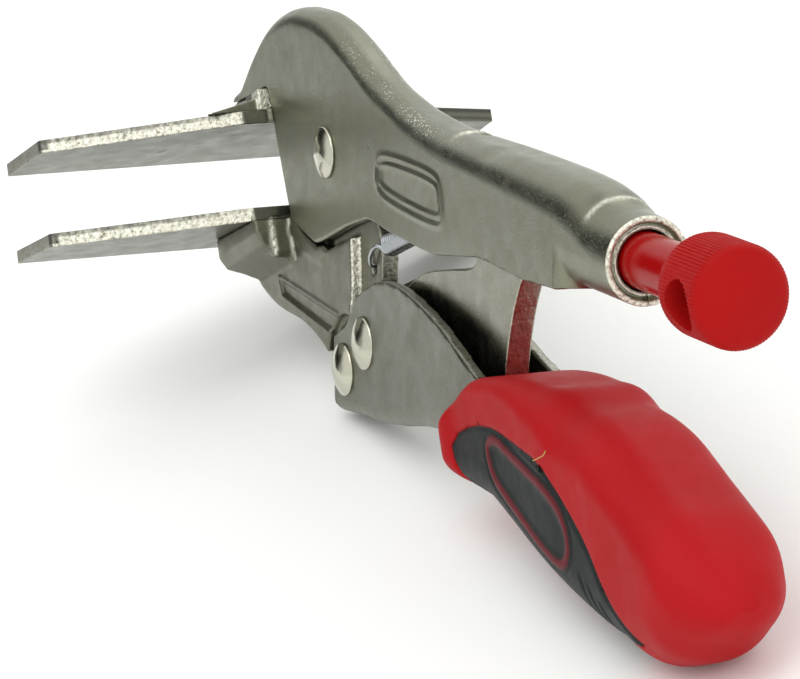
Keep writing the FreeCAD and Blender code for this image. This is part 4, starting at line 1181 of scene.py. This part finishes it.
def build_grip():
    xs = np.concatenate([[-100.4, -100.7, -101.2], np.arange(-101.8, -183.0, -0.40), np.linspace(-183.2, -187.0, 16)])
    n = 256
    tt = np.linspace(0, 1, n, endpoint=False)
    V = []
    for x in xs:
        zt, zb, w, rt, rb = (float(GF[k](x)) for k in range(1, 6))
        hh = (zt - zb) / 2
        rt, rb = min(rt, w - 0.02, hh - 0.02), min(rb, w - 0.02, hh - 0.02)
        rl = min(0.72 * rt + (8.6 - 0.72 * rt) * float(sstep(-126.0, -152.0, x)), w - 0.05, hh - 0.02)
        segs = [((-w + rb, zb), (w - rb, zb), None), ((w - rb, zb + rb), rb, (-90, 0)), ((w, zb + rb), (w, zt - rl), None), ((w - rl, zt - rl), rl, (0, 90)),
                ((w - rl, zt), (-w + rt, zt), None), ((-w + rt, zt - rt), rt, (90, 180)), ((-w, zt - rt), (-w, zb + rb), None), ((-w + rb, zb + rb), rb, (180, 270))]
        pts = []
        for sgm in segs:
            if sgm[2] is None:
                a, b = np.array(sgm[0]), np.array(sgm[1])
                for q in np.linspace(0, 1, 22, endpoint=False):
                    pts.append(a + (b - a) * q)
            else:
                a0, a1 = map(math.radians, sgm[2])
                for q in np.linspace(a0, a1, 24, endpoint=False):
                    pts.append(np.array(sgm[0]) + sgm[1] * np.array([math.cos(q), math.sin(q)]))
        pts = np.array(pts)
        # resample each section outline evenly along its length
        d = np.linalg.norm(np.roll(pts, -1, 0) - pts, axis=1)
        s = np.concatenate([[0], np.cumsum(d)])
        q = tt * s[-1]
        cl = np.concatenate([pts, pts[:1]])
        p = np.stack([np.interp(q, s, cl[:, 0]), np.interp(q, s, cl[:, 1])], 1)
        V.append(np.stack([np.full(n, x), p[:, 0], p[:, 1]], 1))
    V = np.array(V)
    # relax a little across the sections
    for _ in range(2):
        V[1:-1] = (V[:-2] + V[2:] + 2 * V[1:-1]) / 4
    tail = sstep(-166.0, -176.0, V[1:-1, :, :1])
    for _ in range(14):
        V[1:-1] += tail * ((V[:-2] + V[2:] + 2 * V[1:-1]) / 4 - V[1:-1])
        Q = (np.roll(V, 1, 1) + np.roll(V, -1, 1) + 2 * V) / 4
        V[1:-1] += tail * (Q[1:-1] - V[1:-1])
    nu = len(xs)
    nrm = np.cross(np.gradient(V, axis=0), np.gradient(V, axis=1))
    nrm /= np.linalg.norm(nrm, axis=2)[..., None] + 1e-12
    cen = V.mean(1, keepdims=True)
    if ((nrm * (V - cen)).sum(2)).mean() < 0:
        nrm = -nrm
    P = V.reshape(-1, 3)
    N = nrm.reshape(-1, 3)
    # pull the nearest row of vertices onto the inlay's outline, so that its edge is a clean line
    sd = poly_sd(P[:, [0, 2]], SIDE)
    onside = (np.abs(P[:, 1]) > 1.6 + 6.4 * sstep(-157.0, -164.5, P[:, 0]))
    e_ = 0.02
    gx = (poly_sd(P[:, [0, 2]] + [e_, 0], SIDE) - poly_sd(P[:, [0, 2]] - [e_, 0], SIDE)) / (2 * e_)
    gz = (poly_sd(P[:, [0, 2]] + [0, e_], SIDE) - poly_sd(P[:, [0, 2]] - [0, e_], SIDE)) / (2 * e_)
    flat = np.abs(N[:, 1]) > 0.35
    snap = (np.abs(sd) < 0.30) & onside & flat
    P = P.copy()
    P[snap, 0] -= (sd * gx)[snap]
    P[snap, 2] -= (sd * gz)[snap]
    sd = np.where(snap, -1e-4, poly_sd(P[:, [0, 2]], SIDE))
    inlay = sstep(0.10, -0.10, sd) * onside
    h = -0.34 * ridge(sd, 0.0, 0.38) * onside                      # groove round the inlay
    h += 0.28 * sstep(1.0, 4.0, sd) * 0                            # flush
    # ribs on the inlay, running down to the underside
    along = -(P[:, 0] + 101.0)
    ribs = np.zeros(len(P))
    for x0 in (-110.2, -112.4, -114.6, -152.6, -155.2, -157.8):
        dx = (P[:, 0] - x0) * 0.80 + (P[:, 2] + 0.62 * P[:, 0] + 0.0) * 0.0
        ribs += ridge(dx, 0.0, 0.34)
    low = sstep(-0.5, -3.0, P[:, 2] - np.interp(-P[:, 0], [101, 110, 116, 140, 152, 165], [-74.0, -75.5, -80.0, -90.0, -96.0, -108.0]))
    h += -0.38 * np.clip(ribs, 0, 1) * inlay * low * sstep(-0.8, -2.0, sd)
    # plain rounded frame, raised, on each side
    fd = poly_sd(P[:, [0, 2]], G_FRAME)
    h += (0.30 * ridge(fd, -0.8, 0.75) - 0.20 * ridge(fd, 0.5, 0.35) - 0.10 * sstep(-1.8, -2.6, fd)) * inlay
    # slight unevenness over the red surface outside the inlay
    topness = np.clip(N[:, 2], 0, 1)
    h += 0.06 * fbm(P / [30.0, 30.0, 30.0], 91) * (1 - inlay)
    P2 = P + N * h[:, None]
    F = grid_faces(nu, n, True)
    F.append(tuple(range(n)))
    F.append(tuple(range(nu * n - 1, (nu - 1) * n - 1, -1)))
    inl = (inlay > 0.5)
    red = []
    blk = []
    fi = np.array([f for f in F[:-2]])
    isb = (sd[fi].mean(1) < 0) & onside[fi].all(1)
    ysign = P[fi][:, :, 1].mean(1)
    return P2, F, isb, ysign, n, nu, fd, sd


def grip_objects():
    P2, F, isb, ys, n, nu, fd, sd = build_grip()
    quads = F[:-2]
    caps = F[-2:]
    ob = mesh_obj("grip_body", P2, [f for f, b in zip(quads, isb) if not b] + caps, None, M_RED)
    out = [ob]
    for side, nm in ((1, "left"), (-1, "right")):
        fs = [f for f, b, y in zip(quads, isb, ys) if b and y * side > 0]
        used = sorted(set(k for f in fs for k in f))
        remap = {k: i for i, k in enumerate(used)}
        paint = sstep(0.40, 0.68, ridge(fd[used], -0.85, 0.92))
        o = mesh_obj("grip_inlay_" + nm, P2[used], [[remap[k] for k in f] for f in fs], None, M_BLACK, attrs={"paint": paint})
        # the inlay is a real skin with thickness
        md = o.modifiers.new("t", "SOLIDIFY")
        md.thickness = 0.0008
        md.offset = -1
        md.use_even_offset = False
        out.append(o)
    for o in out:
        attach(o, "lower_handle")
    # drop the loose vertices of the red body
    bm = bmesh.new()
    bm.from_mesh(ob.data)
    bmesh.ops.delete(bm, geom=[v for v in bm.verts if not v.link_faces], context="VERTS")
    bm.to_mesh(ob.data)
    bm.free()
    md = ob.modifiers.new("t", "SOLIDIFY")
    md.thickness = 0.0008
    md.offset = -1
    md.use_even_offset = False
    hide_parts("grip_sleeve")
    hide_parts("grip_panel_left")
    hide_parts("grip_panel_right")


# red paint on the inlay's frame
k = M_BLACK.node_tree
pr = [x for x in k.nodes if x.type == "BSDF_PRINCIPLED"][0]
src = pr.inputs["Base Color"].links[0].from_socket
mx = k.nodes.new("ShaderNodeMix")
mx.data_type = "RGBA"
at = k.nodes.new("ShaderNodeAttribute")
at.attribute_name = "paint"
k.links.new(at.outputs["Fac"], mx.inputs[0])
k.links.new(src, mx.inputs[6])
mx.inputs[7].default_value = (0.125, 0.012, 0.018, 1)
k.links.new(mx.outputs[2], pr.inputs["Base Color"])
grip_objects()
# a stray fibre caught on the grip
V, F = tube_along(spline([(-141.79, 10.18, -79.18), (-143.02, 10.18, -79.23), (-144.49, 10.18, -79.16), (-145.73, 10.18, -79.14), (-146.64, 10.18, -78.9), (-147.17, 10.18, -78.61)], 6), 0.10, 6)
fibre_mat = plastic("fibre", (0.50, 0.30, 0.08), (0.62, 0.40, 0.14), 0.6, 900.0, 0.2)
mesh_obj("fibre", V, F, "lower_handle", fibre_mat)

# ---------------------------------------------------------------------------
# Stage, light, camera
# ---------------------------------------------------------------------------
me = bpy.data.meshes.new("floor")
s_ = 6.0
me.from_pydata([(-s_, -s_, 0), (s_, -s_, 0), (s_, s_, 0), (-s_, s_, 0)], [], [(0, 1, 2, 3)])
floor = bpy.data.objects.new("floor", me)
COL.objects.link(floor)
k = Nodes("floor")
fn = k.noise(6.0, 3.0)
k.set(Base_Color=k.ramp(fn, [(0.3, (0.94, 0.94, 0.93)), (0.7, (0.965, 0.965, 0.955))]), Roughness=0.7)
me.materials.append(k.m)

CAMP = np.array([-740.51084023, 260.5620232, -153.62470864])
RC = np.array([[-0.3370491, -0.93035333, -0.14436266], [0.187684, 0.08386144, -0.97864292], [0.92259017, -0.35694528, 0.14634701]])
cam_d = bpy.data.cameras.new("camera")
cam = bpy.data.objects.new("camera", cam_d)
COL.objects.link(cam)
right, down, fwd = (ROT @ RC[i] for i in range(3))
m4 = Matrix([[right[0], -down[0], -fwd[0], 0], [right[1], -down[1], -fwd[1], 0], [right[2], -down[2], -fwd[2], 0], [0, 0, 0, 1]])
m4.translation = Vector(row(CAMP)[0])
cam.matrix_world = m4
cam_d.sensor_width = 36.0
cam_d.lens = 36.0 * 4300.2 / 800.0
cam_d.shift_x = 1.41 / 800.0
cam_d.shift_y = -0.99 / 800.0
cam_d.clip_start = 0.05
cam_d.clip_end = 30
bpy.context.scene.camera = cam

bpy.context.scene.view_settings.view_transform = "Standard"
world = bpy.data.worlds.new("world")
bpy.context.scene.world = world
world.use_nodes = True
wt = world.node_tree
bg = wt.nodes["Background"]
# Soft white room with one broad grey card ahead of the tool and to its left.
tc = wt.nodes.new("ShaderNodeTexCoord")
dt = wt.nodes.new("ShaderNodeVectorMath")
dt.operation = "DOT_PRODUCT"
wt.links.new(tc.outputs["Generated"], dt.inputs[0])
dt.inputs[1].default_value = (0.854, 0.513, 0.087)
mr = wt.nodes.new("ShaderNodeMapRange")
mr.interpolation_type = "SMOOTHSTEP"
wt.links.new(dt.outputs["Value"], mr.inputs[0])
mr.inputs[1].default_value = 0.85
mr.inputs[2].default_value = 0.96
wm = wt.nodes.new("ShaderNodeMix")
wm.data_type = "RGBA"
wt.links.new(mr.outputs[0], wm.inputs[0])
wm.inputs[6].default_value = (1.13, 1.14, 1.12, 1)
wm.inputs[7].default_value = (0.012, 0.013, 0.011, 1)
wt.links.new(wm.outputs[2], bg.inputs[0])
bg.inputs[1].default_value = 0.85


def area(name, pos, target, size, power, color=(1, 1, 1), size_y=None):
    ld = bpy.data.lights.new(name, "AREA")
    ld.shape = "RECTANGLE" if size_y else "SQUARE"
    ld.size = size
    if size_y:
        ld.size_y = size_y
    ld.energy = power
    ld.color = color
    o = bpy.data.objects.new(name, ld)
    COL.objects.link(o)
    o.location = pos
    d = Vector(target) - Vector(pos)
    o.rotation_euler = d.to_track_quat("-Z", "Y").to_euler()
    return o


area("key", (-0.25, 0.30, 1.15), (0, 0, 0.03), 1.0, 4.2)
area("fill", (-1.0, -0.1, 0.55), (0, 0, 0.03), 0.7, 1.4)
area("back", (0.55, -0.75, 0.75), (0, 0, 0.03), 0.7, 1.4)
